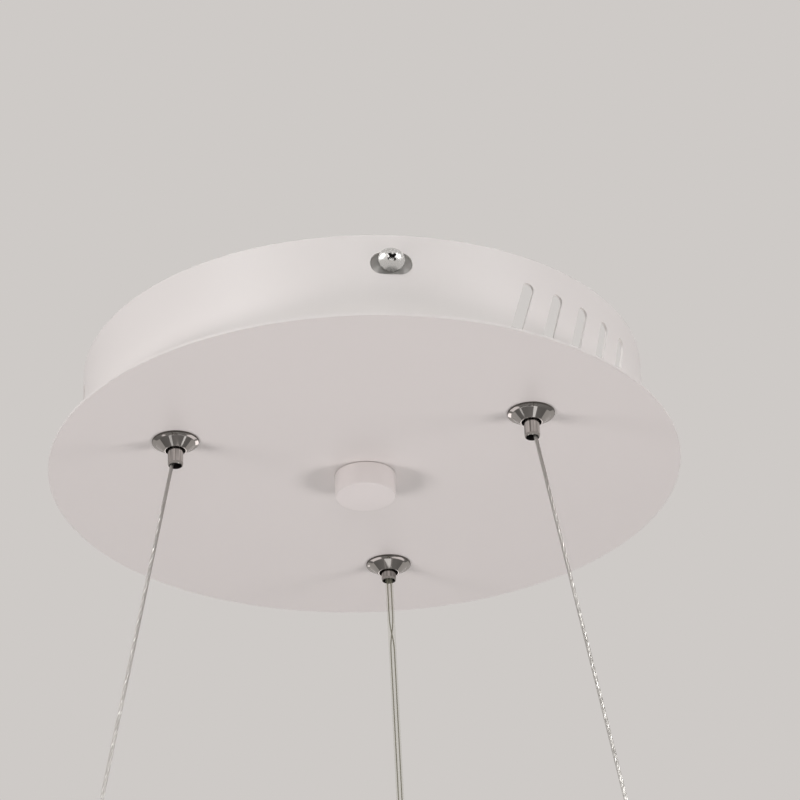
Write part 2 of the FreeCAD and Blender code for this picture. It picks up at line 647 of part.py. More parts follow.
# ---------------------------------------------------------------- ring
def make_ring_channel():
    """A hollow channel with a closed upper duct and an open lower trough, butted at one seam."""
    outer = RING_OUTSIDE
    inner = RING_INSIDE
    skin = RING_SKIN
    duct_top = RING_TOP - skin
    outside = [(inner, RING_BOTTOM), (outer, RING_BOTTOM), (outer, RING_TOP), (inner, RING_TOP)]
    duct = [(inner + skin, SHELF_TOP), (outer - skin, SHELF_TOP),
            (outer - skin, duct_top), (inner + skin, duct_top)]
    trough = [(inner + skin, RING_BOTTOM), (outer - skin, RING_BOTTOM),
              (outer - skin, SHELF_UNDERSIDE), (inner + skin, SHELF_UNDERSIDE)]
    ring = turned(outside)
    ring = ring.makeFillet(RING_CORNER, edges_at(ring, RING_TOP) + edges_at(ring, RING_BOTTOM))
    ring = ring.cut(turned(duct)).cut(turned(trough))
    seam = block(inner - 1, outer + 1, -RING_SEAM / 2, RING_SEAM / 2, RING_BOTTOM - 1, RING_TOP + 1)
    ring = ring.cut(spun(seam, RING_SEAM_ANGLE))
    for angle in HOLDER_ANGLES.values():
        ring = ring.cut(at_polar(rod(ANCHOR_THREAD / 2, duct_top, RING_TOP), RING_MIDDLE, angle))
    shelf_hole = rod(CABLE_RADIUS + LOOSE_GAP, SHELF_UNDERSIDE, SHELF_TOP)
    ring = ring.cut(at_polar(shelf_hole, RING_MIDDLE, HOLDER_ANGLES["cable"]))
    for place in joiner_screw_angles():
        ring = ring.cut(at_polar(joiner_screw(), RING_MIDDLE, place))
    return ring


def joiner_screw():
    """A flush screw through the ring's top into the joiner."""
    head_depth = (JOINER_HEAD - JOINER_THREAD) / 2
    head = cone(JOINER_THREAD / 2, JOINER_HEAD / 2, RING_TOP - head_depth, RING_TOP)
    return head.fuse(rod(JOINER_THREAD / 2, JOINER_LOW, RING_TOP - head_depth)).removeSplitter()


def joiner_screw_angles():
    half = math.degrees(JOINER_ARC / 2 / RING_MIDDLE)
    return [RING_SEAM_ANGLE + half * share for share in JOINER_SCREW_SHARES]


def make_ring_joiner():
    """The curved bar inside the duct that holds the channel's two ends together."""
    degrees = math.degrees(JOINER_ARC / RING_MIDDLE)
    low = JOINER_LOW
    high = RING_TOP - RING_SKIN
    inner = RING_INSIDE + RING_SKIN + RUNNING_GAP
    outer = RING_OUTSIDE - RING_SKIN - RUNNING_GAP
    bar = turned([(inner, low), (outer, low), (outer, high), (inner, high)], degrees)
    bar = spun(bar, RING_SEAM_ANGLE - degrees / 2)
    for place in joiner_screw_angles():
        bar = bar.cut(at_polar(joiner_screw(), RING_MIDDLE, place))
    return bar


def make_joiner_screws():
    recess = cross_recess(JOINER_HEAD * RECESS_SPAN_SHARE, JOINER_RECESS_DEPTH)
    screw = joiner_screw().cut(moved(recess, 0, 0, RING_TOP))
    return group([at_polar(screw, RING_MIDDLE, place) for place in joiner_screw_angles()])


def make_ring_diffuser():
    """An opal strip with two legs that snap up inside the trough."""
    outer = RING_OUTSIDE - RING_SKIN - RUNNING_GAP
    inner = RING_INSIDE + RING_SKIN + RUNNING_GAP
    low = RING_BOTTOM - DIFFUSER_PROUD
    floor = low + DIFFUSER_SKIN
    leg_top = floor + DIFFUSER_LEG_HEIGHT
    return turned([
        (inner, low), (outer, low), (outer, leg_top), (outer - DIFFUSER_LEG, leg_top),
        (outer - DIFFUSER_LEG, floor), (inner + DIFFUSER_LEG, floor), (inner + DIFFUSER_LEG, leg_top),
        (inner, leg_top)])


def make_led_board():
    inner = RING_MIDDLE - LED_BOARD_WIDTH / 2
    outer = RING_MIDDLE + LED_BOARD_WIDTH / 2
    low = SHELF_UNDERSIDE - LED_BOARD_THICKNESS
    return turned([(inner, low), (outer, low), (outer, SHELF_UNDERSIDE), (inner, SHELF_UNDERSIDE)])


def make_led_chips():
    top = SHELF_UNDERSIDE - LED_BOARD_THICKNESS
    chip = centred_block(LED_WIDTH, LED_LENGTH, top - LED_HEIGHT, top)
    return group([at_polar(chip, RING_MIDDLE, 360.0 / LED_COUNT * i) for i in range(LED_COUNT)])


def anchor_outside():
    """A round barrel on the ring's top with a threaded stem down into the duct, drawn on the axis."""
    top = RING_TOP + ANCHOR_HEIGHT
    barrel = turned([
        (0, RING_TOP), (ANCHOR_RADIUS, RING_TOP), (ANCHOR_RADIUS, top - ANCHOR_EDGE),
        (ANCHOR_RADIUS - ANCHOR_EDGE, top), (0, top)])
    return barrel.fuse(rod(ANCHOR_THREAD / 2, SLIDE_NUT_LOW, RING_TOP)).removeSplitter()


def anchor_mouth(line_radius):
    """The funnel that the slanting line comes down through."""
    wide = line_radius + WIRE_SLOPE * (ANCHOR_HEIGHT - ANCHOR_SEAT_HEIGHT) + LOOSE_GAP
    narrow = line_radius + 2 * RUNNING_GAP
    return cone(narrow, wide, SEAT_LEVEL, RING_TOP + ANCHOR_HEIGHT)


def make_wire_anchor():
    anchor = anchor_outside().cut(anchor_mouth(WIRE_RADIUS))
    return anchor.cut(rod(CRIMP_RADIUS + RUNNING_GAP, SLIDE_NUT_LOW, SEAT_LEVEL))


def make_wire_crimp():
    return rod(CRIMP_RADIUS, SEAT_LEVEL - CRIMP_LENGTH, SEAT_LEVEL)


def make_ring_cable_gland():
    gland = anchor_outside().cut(anchor_mouth(CABLE_RADIUS))
    return gland.cut(rod(CABLE_RADIUS + RUNNING_GAP, SLIDE_NUT_LOW, SEAT_LEVEL))


def make_ring_lead():
    """The cable's last stretch, straight down from the gland through the shelf to the LED board."""
    return rod(CABLE_RADIUS, SHELF_UNDERSIDE, SEAT_LEVEL)


def slide_nut():
    """A nut that fills the duct's width and is slid along it before the ring is closed."""
    width = RING_WIDTH - 2 * RING_SKIN - 4 * LOOSE_GAP
    high = RING_TOP - RING_SKIN
    nut = centred_block(width, SLIDE_NUT_LENGTH, SLIDE_NUT_LOW, high)
    return nut.cut(rod(ANCHOR_THREAD / 2, SLIDE_NUT_LOW, high))


# ---------------------------------------------------------------- driver and wiring in the canopy
def driver_screw_places():
    y = DRIVER_CENTRE[1]
    return [(DRIVER_LEFT - DRIVER_EAR / 2, y), (DRIVER_RIGHT + DRIVER_EAR / 2, y)]


def make_driver_base():
    x, y = DRIVER_CENTRE
    length = DRIVER_LENGTH + 2 * DRIVER_EAR
    base = centred_block(DRIVER_LENGTH, DRIVER_WIDTH, PAN_FLOOR, DRIVER_SPLIT, x, y)
    ears = centred_block(length, DRIVER_WIDTH / 2, PAN_FLOOR, PAN_FLOOR + DRIVER_EAR_THICKNESS, x, y)
    base = base.fuse(ears).removeSplitter()
    inside_length = DRIVER_LENGTH - 2 * DRIVER_WALL
    inside_width = DRIVER_WIDTH - 2 * DRIVER_WALL
    base = base.cut(centred_block(inside_length, inside_width, PAN_FLOOR + DRIVER_WALL, DRIVER_SPLIT, x, y))
    for screw_x, screw_y in driver_screw_places():
        base = base.cut(rod(DRIVER_SCREW / 2, PAN_FLOOR, DRIVER_SPLIT, screw_x, screw_y))
    post = centred_block(BOARD_POST_SIZE, BOARD_POST_SIZE, PAN_FLOOR + DRIVER_WALL, BOARD_LOW)
    for post_x, post_y in board_posts():
        base = base.fuse(moved(post, post_x, post_y))
    return base.removeSplitter()


def board_posts():
    x, y = DRIVER_CENTRE
    reach_x = DRIVER_LENGTH / 2 - DRIVER_WALL - BOARD_POST_SIZE
    reach_y = DRIVER_WIDTH / 2 - DRIVER_WALL - BOARD_POST_SIZE
    return [(x + side_x * reach_x, y + side_y * reach_y) for side_x in (-1, 1) for side_y in (-1, 1)]


def make_driver_board():
    x, y = DRIVER_CENTRE
    length = DRIVER_LENGTH - 2 * DRIVER_WALL - 2 * LOOSE_GAP
    width = DRIVER_WIDTH - 2 * DRIVER_WALL - 2 * LOOSE_GAP
    return centred_block(length, width, BOARD_LOW, BOARD_TOP, x, y)


def make_driver_cover():
    """The upper half of the driver's case; a lead goes into each end."""
    x, y = DRIVER_CENTRE
    cover = centred_block(DRIVER_LENGTH, DRIVER_WIDTH, DRIVER_SPLIT, DRIVER_TOP, x, y)
    upright = [edge for edge in cover.Edges if edge.BoundBox.ZLength > DRIVER_COVER_HEIGHT / 2]
    cover = cover.makeFillet(DRIVER_WALL, upright)
    cover = cover.cut(centred_block(DRIVER_LENGTH - 2 * DRIVER_WALL, DRIVER_WIDTH - 2 * DRIVER_WALL,
                                    DRIVER_SPLIT, DRIVER_TOP - DRIVER_WALL, x, y))
    return cover


def make_transformer():
    x, y = DRIVER_CENTRE
    size_x, size_y, size_z = TRANSFORMER_SIZE
    core = centred_block(size_x, size_y, BOARD_TOP, BOARD_TOP + size_z, x, y)
    window_x, window_y, window_z = TRANSFORMER_WINDOW
    low = BOARD_TOP + (size_z - window_z) / 2
    for side in (-1, 1):
        middle = y + side * (size_y - window_y) / 2
        core = core.cut(centred_block(window_x, window_y, low, low + window_z, x, middle))
    return core


def make_capacitors():
    first = DRIVER_LEFT + 2 * CAPACITOR_DIAMETER
    top = BOARD_TOP + CAPACITOR_HEIGHT
    places = [first + CAPACITOR_PITCH * index for index in range(CAPACITORS)]
    return group([rod(CAPACITOR_DIAMETER / 2, BOARD_TOP, top, x, DRIVER_CENTRE[1]) for x in places])


def make_driver_screws():
    seat = PAN_FLOOR + DRIVER_EAR_THICKNESS
    screw = pan_head_screw(DRIVER_SCREW, seat - DISC_TOP, DRIVER_HEAD_DIAMETER, DRIVER_HEAD_HEIGHT)
    return group([moved(screw, x, y, seat) for x, y in driver_screw_places()])


def terminal_pole_places():
    x, y = TERMINAL_CENTRE
    pitch = TERMINAL_SIZE[0] / TERMINAL_POLES
    return [(x + pitch * (index - (TERMINAL_POLES - 1) / 2), y + side * TERMINAL_SIZE[1] / 4)
            for index in range(TERMINAL_POLES) for side in (-1, 1)]


def make_terminal_block():
    body = centred_block(TERMINAL_SIZE[0], TERMINAL_SIZE[1], PAN_FLOOR, TERMINAL_TOP, *TERMINAL_CENTRE)
    for pole_x, pole_y in terminal_pole_places():
        body = body.cut(rod(TERMINAL_SCREW / 2 + RUNNING_GAP, TERMINAL_MIDDLE, TERMINAL_TOP, pole_x, pole_y))
    return body


def make_terminal_screws():
    top = TERMINAL_TOP - TERMINAL_SCREW_SUNK
    slot = centred_block(TERMINAL_SCREW, TERMINAL_SLOT_WIDTH, top - TERMINAL_SLOT_DEPTH, top)
    screw = rod(TERMINAL_SCREW / 2, TERMINAL_MIDDLE, top).cut(slot)
    return group([moved(screw, x, y) for x, y in terminal_pole_places()])


def make_mains_lead():
    """From the terminal block round into the driver's left end."""
    x, y = TERMINAL_CENTRE
    start = y + TERMINAL_SIZE[1] / 2
    end = DRIVER_CENTRE[1]
    level = DRIVER_LEAD_LEVEL
    return lead([(x, start, TERMINAL_MIDDLE),
                 (x, end - MAINS_CORNER, TERMINAL_MIDDLE),
                 (x + MAINS_CORNER, end, level),
                 (DRIVER_LEFT, end, level)], MAINS_LEAD_DIAMETER)


def make_cable_tail():
    """The clear cable's inner end: up out of its holder and round into the driver's right end."""
    holder = spun_point(HOLDER_CIRCLE_RADIUS, HOLDER_ANGLES["cable"], BEND_LEVEL)
    level = DRIVER_LEAD_LEVEL
    end = DRIVER_CENTRE[1]
    radius = (holder.y - end) / 2
    route = [tuple(holder),
             (holder.x, holder.y, level + CABLE_RISE),
             (holder.x + CABLE_REACH, holder.y, level + CABLE_LOOP_FALL)]
    for index in range(CABLE_LOOP_CORNERS):
        share = index / (CABLE_LOOP_CORNERS - 1)
        corner = spun_point(radius, 90 - 180 * share, level + CABLE_LOOP_FALL * (1 - share))
        route.append((DRIVER_RIGHT + CABLE_RUN_IN + corner.x, end + radius + corner.y, corner.z))
    route.append((DRIVER_RIGHT, end, level))
    return lead(route, CABLE_DIAMETER)


def make_earth_screws():
    """One screw up into the bracket and one down into the pan, each through the lead's eyelet."""
    upper_reach = BRACKET_SHEET + EYELET_THICKNESS
    upper = pan_head_screw(EARTH_SCREW, upper_reach, EARTH_HEAD_DIAMETER, EARTH_HEAD_HEIGHT)
    upper.rotate(Vector(0, 0, 0), OUTWARD, 180)
    upper = moved(upper, *EARTH_BRACKET_PLACE, -upper_reach)
    lower_reach = PAN_SHEET + EYELET_THICKNESS
    lower = pan_head_screw(EARTH_SCREW, lower_reach, EARTH_HEAD_DIAMETER, EARTH_HEAD_HEIGHT)
    lower = moved(lower, *EARTH_PAN_PLACE, DISC_TOP + lower_reach)
    return group([upper, lower])


def eyelet(place, low, heading):
    """A flat ring terminal whose tongue points along a heading in degrees."""
    ring = rod(EARTH_EYELET / 2, 0, EYELET_THICKNESS)
    tongue = block(0, EYELET_REACH, -EARTH_LEAD_DIAMETER / 2, EARTH_LEAD_DIAMETER / 2, 0, EYELET_THICKNESS)
    shape = ring.fuse(tongue).removeSplitter().cut(rod(EARTH_SCREW / 2, 0, EYELET_THICKNESS))
    return moved(spun(shape, heading), place[0], place[1], low)


def make_earth_eyelets():
    upper = eyelet(EARTH_BRACKET_PLACE, -BRACKET_SHEET - EYELET_THICKNESS, EARTH_UPPER_HEADING)
    lower = eyelet(EARTH_PAN_PLACE, PAN_FLOOR, EARTH_LOWER_HEADING)
    return group([upper, lower])


def make_earth_lead():
    """The slack green and yellow lead between the two eyelets' tongues."""
    upper_tip = Vector(*EARTH_BRACKET_PLACE, -BRACKET_SHEET - EYELET_THICKNESS / 2)
    upper_out = spun_point(1, EARTH_UPPER_HEADING, 0)
    lower_tip = Vector(*EARTH_PAN_PLACE, PAN_FLOOR + EARTH_LEAD_DIAMETER / 2)
    lower_out = spun_point(1, EARTH_LOWER_HEADING, 0)
    start = upper_tip + upper_out * EYELET_REACH - UP * (EARTH_LEAD_DIAMETER / 2)
    end = lower_tip + lower_out * EYELET_REACH
    return lead([tuple(start),
                 tuple(start + upper_out * EARTH_RUN_HIGH),
                 tuple(start + upper_out * EARTH_TURN_HIGH - UP * EARTH_DROP),
                 tuple(end + lower_out * EARTH_TURN_LOW + UP * EARTH_LIFT),
                 tuple(end + lower_out * EARTH_RUN_LOW),
                 tuple(end)], EARTH_LEAD_DIAMETER)


# ---------------------------------------------------------------- assembly
parts["mounting_bracket"] = make_mounting_bracket()
parts["bracket_weld_nuts"] = make_weld_nuts()
parts["canopy_pan"] = make_canopy_pan()
parts["canopy_plate"] = make_canopy_plate()
parts["side_screws"] = make_side_screws()
parts["centre_nipple"] = make_centre_nipple()
parts["centre_nut"] = make_centre_nut()
parts["centre_cap"] = make_centre_cap()

for side in ("left", "right"):
    parts[side + "_gripper_body"] = at_holder(make_gripper_body(), side)
    parts[side + "_chuck_sleeve"] = at_holder(make_chuck_sleeve(), side)
    parts[side + "_release_nose"] = at_holder(make_release_nose(), side)
    parts[side + "_chuck_balls"] = group([at_holder(ball, side) for ball in make_chuck_balls()])
    parts[side + "_release_spring"] = at_holder(make_release_spring(), side)
    parts[side + "_wire_tail"] = make_wire_tail(side)
    parts[side + "_wire_stop"] = make_wire_stop(side)
    parts[side + "_suspension_wire"] = straight_line(WIRE_RADIUS, HOLDER_ANGLES[side], side + " wire")
    parts[side + "_ring_anchor"] = at_polar(make_wire_anchor(), RING_MIDDLE, HOLDER_ANGLES[side])
    parts[side + "_wire_crimp"] = at_polar(make_wire_crimp(), RING_MIDDLE, HOLDER_ANGLES[side])

parts["cable_holder"] = at_holder(make_cable_holder(), "cable")
parts["cable_clamp_sleeve"] = at_holder(make_cable_sleeve(), "cable")
parts["holder_washers"] = group([at_holder(holder_washer(), name) for name in HOLDER_ANGLES])
parts["holder_nuts"] = group([at_holder(holder_nut(), name) for name in HOLDER_ANGLES])
parts["power_cable"] = straight_line(CABLE_RADIUS, HOLDER_ANGLES["cable"], "power cable")
parts["cable_tail"] = make_cable_tail()

parts["driver_base"] = make_driver_base()
parts["driver_cover"] = make_driver_cover()
parts["driver_board"] = make_driver_board()
parts["driver_transformer"] = make_transformer()
parts["driver_capacitors"] = make_capacitors()
parts["driver_screws"] = make_driver_screws()
parts["terminal_block"] = make_terminal_block()
parts["terminal_screws"] = make_terminal_screws()
parts["mains_lead"] = make_mains_lead()
parts["earth_screws"] = make_earth_screws()
parts["earth_eyelets"] = make_earth_eyelets()
parts["earth_lead"] = make_earth_lead()

parts["ring_channel"] = make_ring_channel()
parts["ring_joiner"] = make_ring_joiner()
parts["joiner_screws"] = make_joiner_screws()
parts["ring_diffuser"] = make_ring_diffuser()
parts["led_board"] = make_led_board()
parts["led_chips"] = make_led_chips()
parts["ring_cable_gland"] = at_polar(make_ring_cable_gland(), RING_MIDDLE, HOLDER_ANGLES["cable"])
parts["ring_lead"] = at_polar(make_ring_lead(), RING_MIDDLE, HOLDER_ANGLES["cable"])
parts["ring_slide_nuts"] = group([at_polar(slide_nut(), RING_MIDDLE, a) for a in HOLDER_ANGLES.values()])

os.makedirs("parts", exist_ok=True)
for name, shape in parts.items():
    shape.exportStep("parts/%s.step" % name)
print(len(parts), "nodes written")
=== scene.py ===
# %% [markdown]
# # A ring chandelier, dressed in Blender
#
# The chandelier hangs from a round white canopy: a shallow drum on a wider disc, with a cap in the
# middle of the disc and three small nickel cones through which two steel ropes and one clear cable
# come down to the ring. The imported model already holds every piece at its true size, so this lesson
# starts from it and does what a CAD model can't: a camera, twisted ropes, a see-through cable, turned
# and polished metal, and a finish for every surface. Lengths are metres, and MM turns millimetres
# into them.

import math

import bpy
from mathutils import Matrix, Vector


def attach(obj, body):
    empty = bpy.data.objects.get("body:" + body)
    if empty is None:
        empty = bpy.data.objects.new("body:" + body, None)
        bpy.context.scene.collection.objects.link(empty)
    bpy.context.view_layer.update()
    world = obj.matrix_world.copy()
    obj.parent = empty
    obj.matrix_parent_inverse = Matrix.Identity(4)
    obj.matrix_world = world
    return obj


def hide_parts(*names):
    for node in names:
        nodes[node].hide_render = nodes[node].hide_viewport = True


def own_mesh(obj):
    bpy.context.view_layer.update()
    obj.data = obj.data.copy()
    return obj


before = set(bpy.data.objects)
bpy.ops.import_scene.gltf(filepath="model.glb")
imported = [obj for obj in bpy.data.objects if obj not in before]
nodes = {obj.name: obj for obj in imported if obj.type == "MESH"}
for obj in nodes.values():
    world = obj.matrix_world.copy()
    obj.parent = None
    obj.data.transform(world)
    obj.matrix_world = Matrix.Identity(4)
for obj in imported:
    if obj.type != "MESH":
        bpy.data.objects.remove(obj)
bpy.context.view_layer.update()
MM = 0.001
print("loaded", len(nodes), "pieces")


# %% [markdown]
# ## The camera
#
# A camera needs a place, a direction and a lens. The picture is taken from below and a little to the
# left, with a long lens, so that the round canopy looks like two nearly equal ovals. The turn could
# be set with three Euler angles, but one turn at a time is easier to follow: the camera starts
# looking straight down, is rolled about its own line of sight, tipped up past the horizon, and last
# swung round to its heading.

# %% Place the camera
LENS_PIXELS = 3733
PICTURE_PIXELS = 800
HEADING = -6.87
RISE = 29.0
ROLL = -1.94
CAMERA_PLACE = (-141.6, -1299.2, -734.0)
camera_data = bpy.data.cameras.new("picture_camera")
camera_data.sensor_width = 36
camera_data.lens = camera_data.sensor_width * LENS_PIXELS / PICTURE_PIXELS
camera = bpy.data.objects.new("picture_camera", camera_data)
bpy.context.collection.objects.link(camera)
bpy.context.scene.camera = camera

heading = Matrix.Rotation(math.radians(HEADING), 4, "Z")
tip = Matrix.Rotation(math.radians(90 + RISE), 4, "X")
roll = Matrix.Rotation(math.radians(ROLL), 4, "Z")
place = Matrix.Translation(Vector(CAMERA_PLACE) * MM)
camera.matrix_world = place @ heading @ tip @ roll
print("camera with a", camera_data.lens, "mm lens")


# %% [markdown]
# ## The lines and leads
#
# A rope or a lead is drawn as its centre line first. Each one follows the route that it has in the
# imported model, with the same corner points, and a NURBS spline of order 3 turns those corners into
# easy bends. The three lines that carry the ring are taut, so theirs are straight. The spline's order
# and its end setting are given after its points, because they only count from then on.

# %% Routes of the three lines
HOLDER_ANGLES = {"left": 197.6, "right": 317.6, "cable": 77.6}
HOLDER_CIRCLE = 80
RING_CIRCLE = 189
LINE_TOP = -46
LINE_FOOT = -618
ROPE_THICKNESS = 1.5 * MM
CABLE_THICKNESS = 3.2 * MM


def round_place(radius, degrees, level):
    """A place given by its distance from the middle, its angle and its level, in millimetres."""
    angle = math.radians(degrees)
    return Vector((radius * math.cos(angle), radius * math.sin(angle), level)) * MM


def drawn_line(name, places, thickness):
    """A cord drawn as one open spline through its route."""
    curve = bpy.data.curves.new(name, "CURVE")
    curve.dimensions = "3D"
    spline = curve.splines.new("NURBS")
    spline.points.add(len(places) - 1)
    for knot, place in zip(spline.points, places):
        knot.co = (*place, 1)
    spline.order_u = 3
    spline.use_endpoint_u = True
    curve.resolution_u = 24
    curve.bevel_depth = thickness / 2
    curve.bevel_resolution = 5
    curve.use_fill_caps = True
    piece = bpy.data.objects.new(name, curve)
    bpy.context.collection.objects.link(piece)
    return piece


def taut_places(angle):
    """Top, middle and foot of a line that leans outward on its way down."""
    top = round_place(HOLDER_CIRCLE, angle, LINE_TOP)
    foot = round_place(RING_CIRCLE, angle, LINE_FOOT)
    return [top, (top + foot) / 2, foot]


taut = {name: taut_places(angle) for name, angle in HOLDER_ANGLES.items()}
print("taut lines", {name: round((line[0] - line[2]).length, 4) for name, line in taut.items()})

# %% [markdown]
# ### The leads inside the canopy
#
# Each rope's spare end stands up out of its gripper and lies over to one side. The clear cable makes
# one loose loop before it reaches the driver. The loop could be bent from a straight line by hand, but
# places set round a circle, each a little lower than the one before, give an even coil. The mains
# lead and the earth lead are short and just follow their corners.

# %% Routes of the leads inside the canopy
TAIL_TOP = -23
TAIL_TURN = 16
TAIL_REACH = 26
TAIL_INWARD = 4
TAIL_SIDE = {"left": 90, "right": -90}


def tail_places(name):
    """The spare end of a rope: up out of its gripper, then bent over and lying level."""
    angle = HOLDER_ANGLES[name]
    foot = round_place(HOLDER_CIRCLE, angle, LINE_TOP)
    knee = round_place(HOLDER_CIRCLE, angle, TAIL_TOP)
    elbow = knee - round_place(TAIL_TURN, angle, -1)
    end = elbow + round_place(TAIL_REACH, angle + TAIL_SIDE[name], 0) - round_place(TAIL_INWARD, angle, 0)
    return [foot, knee, elbow, end]


LOOP_CENTRE = Vector((54.0, 59.07, 0)) * MM
LOOP_RADIUS = 19.07
LOOP_STEP = 36
LOOP_LEVELS = (-12.8, -15.2, -17.6, -20.0, -22.4, -24.8)
CABLE_RISES = ((0, 0, 23.2), (19, 0, 33.2))
CABLE_END = (44.5, 40, -24.8)
loop = [LOOP_CENTRE + round_place(LOOP_RADIUS, 90 - LOOP_STEP * number, level)
        for number, level in enumerate(LOOP_LEVELS)]
cable_top = round_place(HOLDER_CIRCLE, HOLDER_ANGLES["cable"], LINE_TOP)
cable_rises = [cable_top + Vector(rise) * MM for rise in CABLE_RISES]
cable_tail_places = [cable_top, *cable_rises, *loop, Vector(CABLE_END) * MM]
mains_places = [Vector(place) * MM for place in (
    (-88, 8, -33.8), (-88, 29, -33.8), (-77, 40, -24.8), (-60.5, 40, -24.8))]
earth_places = [Vector(place) * MM for place in (
    (-3.08, -53.46, -2.9), (-7.18, -64.73, -2.9), (-9.92, -72.25, -12.9),
    (-1.37, -71.23, -33.8), (6.15, -68.50, -39.8), (15.54, -65.08, -39.8))]
CABLE_TAIL_LENGTH = 128.3 * MM
MAINS_LENGTH = 53.3 * MM
MAINS_THICKNESS = 3 * MM
EARTH_LENGTH = 65.3 * MM
EARTH_THICKNESS = 2 * MM


def made_mesh(piece):
    """Turns a curve into a smooth mesh piece of the same name."""
    bpy.ops.object.select_all(action="DESELECT")
    piece.select_set(True)
    bpy.context.view_layer.objects.active = piece
    bpy.ops.object.convert(target="MESH")
    bpy.ops.object.shade_smooth_by_angle(angle=math.radians(50))
    return bpy.context.object


cable_tail = made_mesh(drawn_line("cable_tail_jacket", cable_tail_places, CABLE_THICKNESS))
mains_lead = made_mesh(drawn_line("mains_lead_jacket", mains_places, MAINS_THICKNESS))
earth_lead = made_mesh(drawn_line("earth_lead_jacket", earth_places, EARTH_THICKNESS))
power_jacket = made_mesh(drawn_line("power_cable_jacket", taut["cable"], CABLE_THICKNESS))
print("drew four leads")


# %% [markdown]
# ### Twisted rope
#
# A steel rope of this size is seven strands: six laid round a straight one. They could be painted on
# a smooth tube, but from close by the edge of a rope is wavy, so real strands are laid. The centre
# line is read back from the spline, walked along in equal steps, and each strand winds round it.

# %% Lay strands along a line
ROPE_PITCH = 10 * MM
STRAND_STEPS = 12


def rope_turns(distance):
    """How many turns a rope's strand has made at a distance along it."""
    return distance / ROPE_PITCH


def read_line(places):
    """The points of the smooth line through a route, read from its spline."""
    guide = drawn_line("guide", places, 0)
    mesh = bpy.data.meshes.new_from_object(guide)
    points = [vertex.co.copy() for vertex in mesh.vertices]
    bpy.data.objects.remove(guide)
    bpy.data.meshes.remove(mesh)
    return points


def even_steps(points, step):
    """Places at equal steps along a line, with its direction and the distance walked."""
    lengths = [(b - a).length for a, b in zip(points, points[1:])]
    count = max(2, round(sum(lengths) / step))
    places = []
    index, passed = 0, 0.0
    for number in range(count + 1):
        target = sum(lengths) * number / count
        while index < len(lengths) - 1 and passed + lengths[index] < target:
            passed += lengths[index]
            index += 1
        share = min(1.0, (target - passed) / lengths[index])
        direction = (points[index + 1] - points[index]).normalized()
        places.append((points[index].lerp(points[index + 1], share), direction, target))
    return places


def laid_strands(name, places, orbit, radius, turns, starts, step, sides_level=1):
    """Strands wound round a line at a distance, each starting at its own angle, as one mesh."""
    walk = even_steps(read_line(places), step)
    side = Vector((1, 0, 0))
    curve = bpy.data.curves.new(name, "CURVE")
    curve.dimensions = "3D"
    strands = [curve.splines.new("POLY") for _ in starts]
    for strand in strands:
        strand.points.add(len(walk) - 1)
    for number, (place, direction, distance) in enumerate(walk):
        side = (side - direction * side.dot(direction)).normalized()
        for strand, start in zip(strands, starts):
            angle = math.radians(start) + 2 * math.pi * turns(distance)
            out = Matrix.Rotation(angle, 3, direction) @ side
            strand.points[number].co = (*(place + out * orbit), 1)
    curve.bevel_depth = radius
    curve.bevel_resolution = sides_level
    curve.use_fill_caps = True
    piece = bpy.data.objects.new(name, curve)
    bpy.context.collection.objects.link(piece)
    return made_mesh(piece)


def steel_rope(name, places):
    """Six strands round a core, each a third of the rope's thickness."""
    strand = ROPE_THICKNESS / 6
    step = ROPE_PITCH / STRAND_STEPS
    outer = laid_strands(name, places, 2 * strand, strand, rope_turns, range(0, 360, 60), step)
    core = laid_strands(name + "_core", places, 0, strand, rope_turns, [0], step)
    bpy.ops.object.select_all(action="DESELECT")
    outer.select_set(True)
    core.select_set(True)
    bpy.context.view_layer.objects.active = outer
    bpy.ops.object.join()
    return outer


ropes = {}
tails = {}
for name in ("left", "right"):
    ropes[name] = steel_rope(name + "_rope", taut[name])
    tails[name] = steel_rope(name + "_rope_tail", tail_places(name))
    print(name, "rope has", len(ropes[name].data.polygons), "faces")

# %% [markdown]
# ### The clear cable
#
# The lamp's cable is a clear jacket with two thin cores side by side, so from outside it shows two
# dark lines. Just under the canopy it makes half a turn, where the lines cross, and below that it
# hangs almost straight. The jacket is the cord itself, and the cores are laid inside it in the same
# way as the rope's strands, with a turn of their own.

# %% Lay the two cores
CORE_ORBIT = 0.72 * MM
CORE_RADIUS = 0.24 * MM
CORE_STARTS = (0, 180)
CORE_STEP = 2 * MM
CORE_SIDES_LEVEL = 2
CROSSING = 27 * MM
CROSSING_REACH = 10 * MM
SLOW_TURN = 1.6


def core_turns(distance):
    """Half a turn near the top, and hardly any after it."""
    share = min(1.0, max(0.0, (distance - CROSSING) / (2 * CROSSING_REACH) + 0.5))
    return share * share * (3 - 2 * share) / 2 + distance / SLOW_TURN


cores = laid_strands("power_cable_cores", taut["cable"], CORE_ORBIT, CORE_RADIUS, core_turns,
                     CORE_STARTS, CORE_STEP, CORE_SIDES_LEVEL)
tail_cores = laid_strands("cable_tail_cores", cable_tail_places, CORE_ORBIT, CORE_RADIUS, core_turns,
                          CORE_STARTS, CORE_STEP, CORE_SIDES_LEVEL)
print("cores have", len(cores.data.polygons), "faces")

# %% [markdown]
# ### Cutting the cords
#
# The three taut lines get shorter when the ring is raised, and they lean further out. On the real
# lamp they bend at the lip of the holder and at the top of the barrel on the ring. So each line is
# cut at these two levels. The short end in the holder and the long part between the cuts stay with
# the canopy, and the short end in the barrel goes up with the ring. The leads and tails inside the
# canopy stay with it, and each drawn cord takes the place of its imported piece, which is hidden.

taut_pieces = {"left": [ropes["left"]], "right": [ropes["right"]], "cable": [power_jacket, cores]}
taut_nodes = {"left": "left_suspension_wire", "right": "right_suspension_wire", "cable": "power_cable"}
HOLDER_LIPS = {"left": -53.8, "right": -53.8, "cable": -50.8}
BARREL_TOP = -611


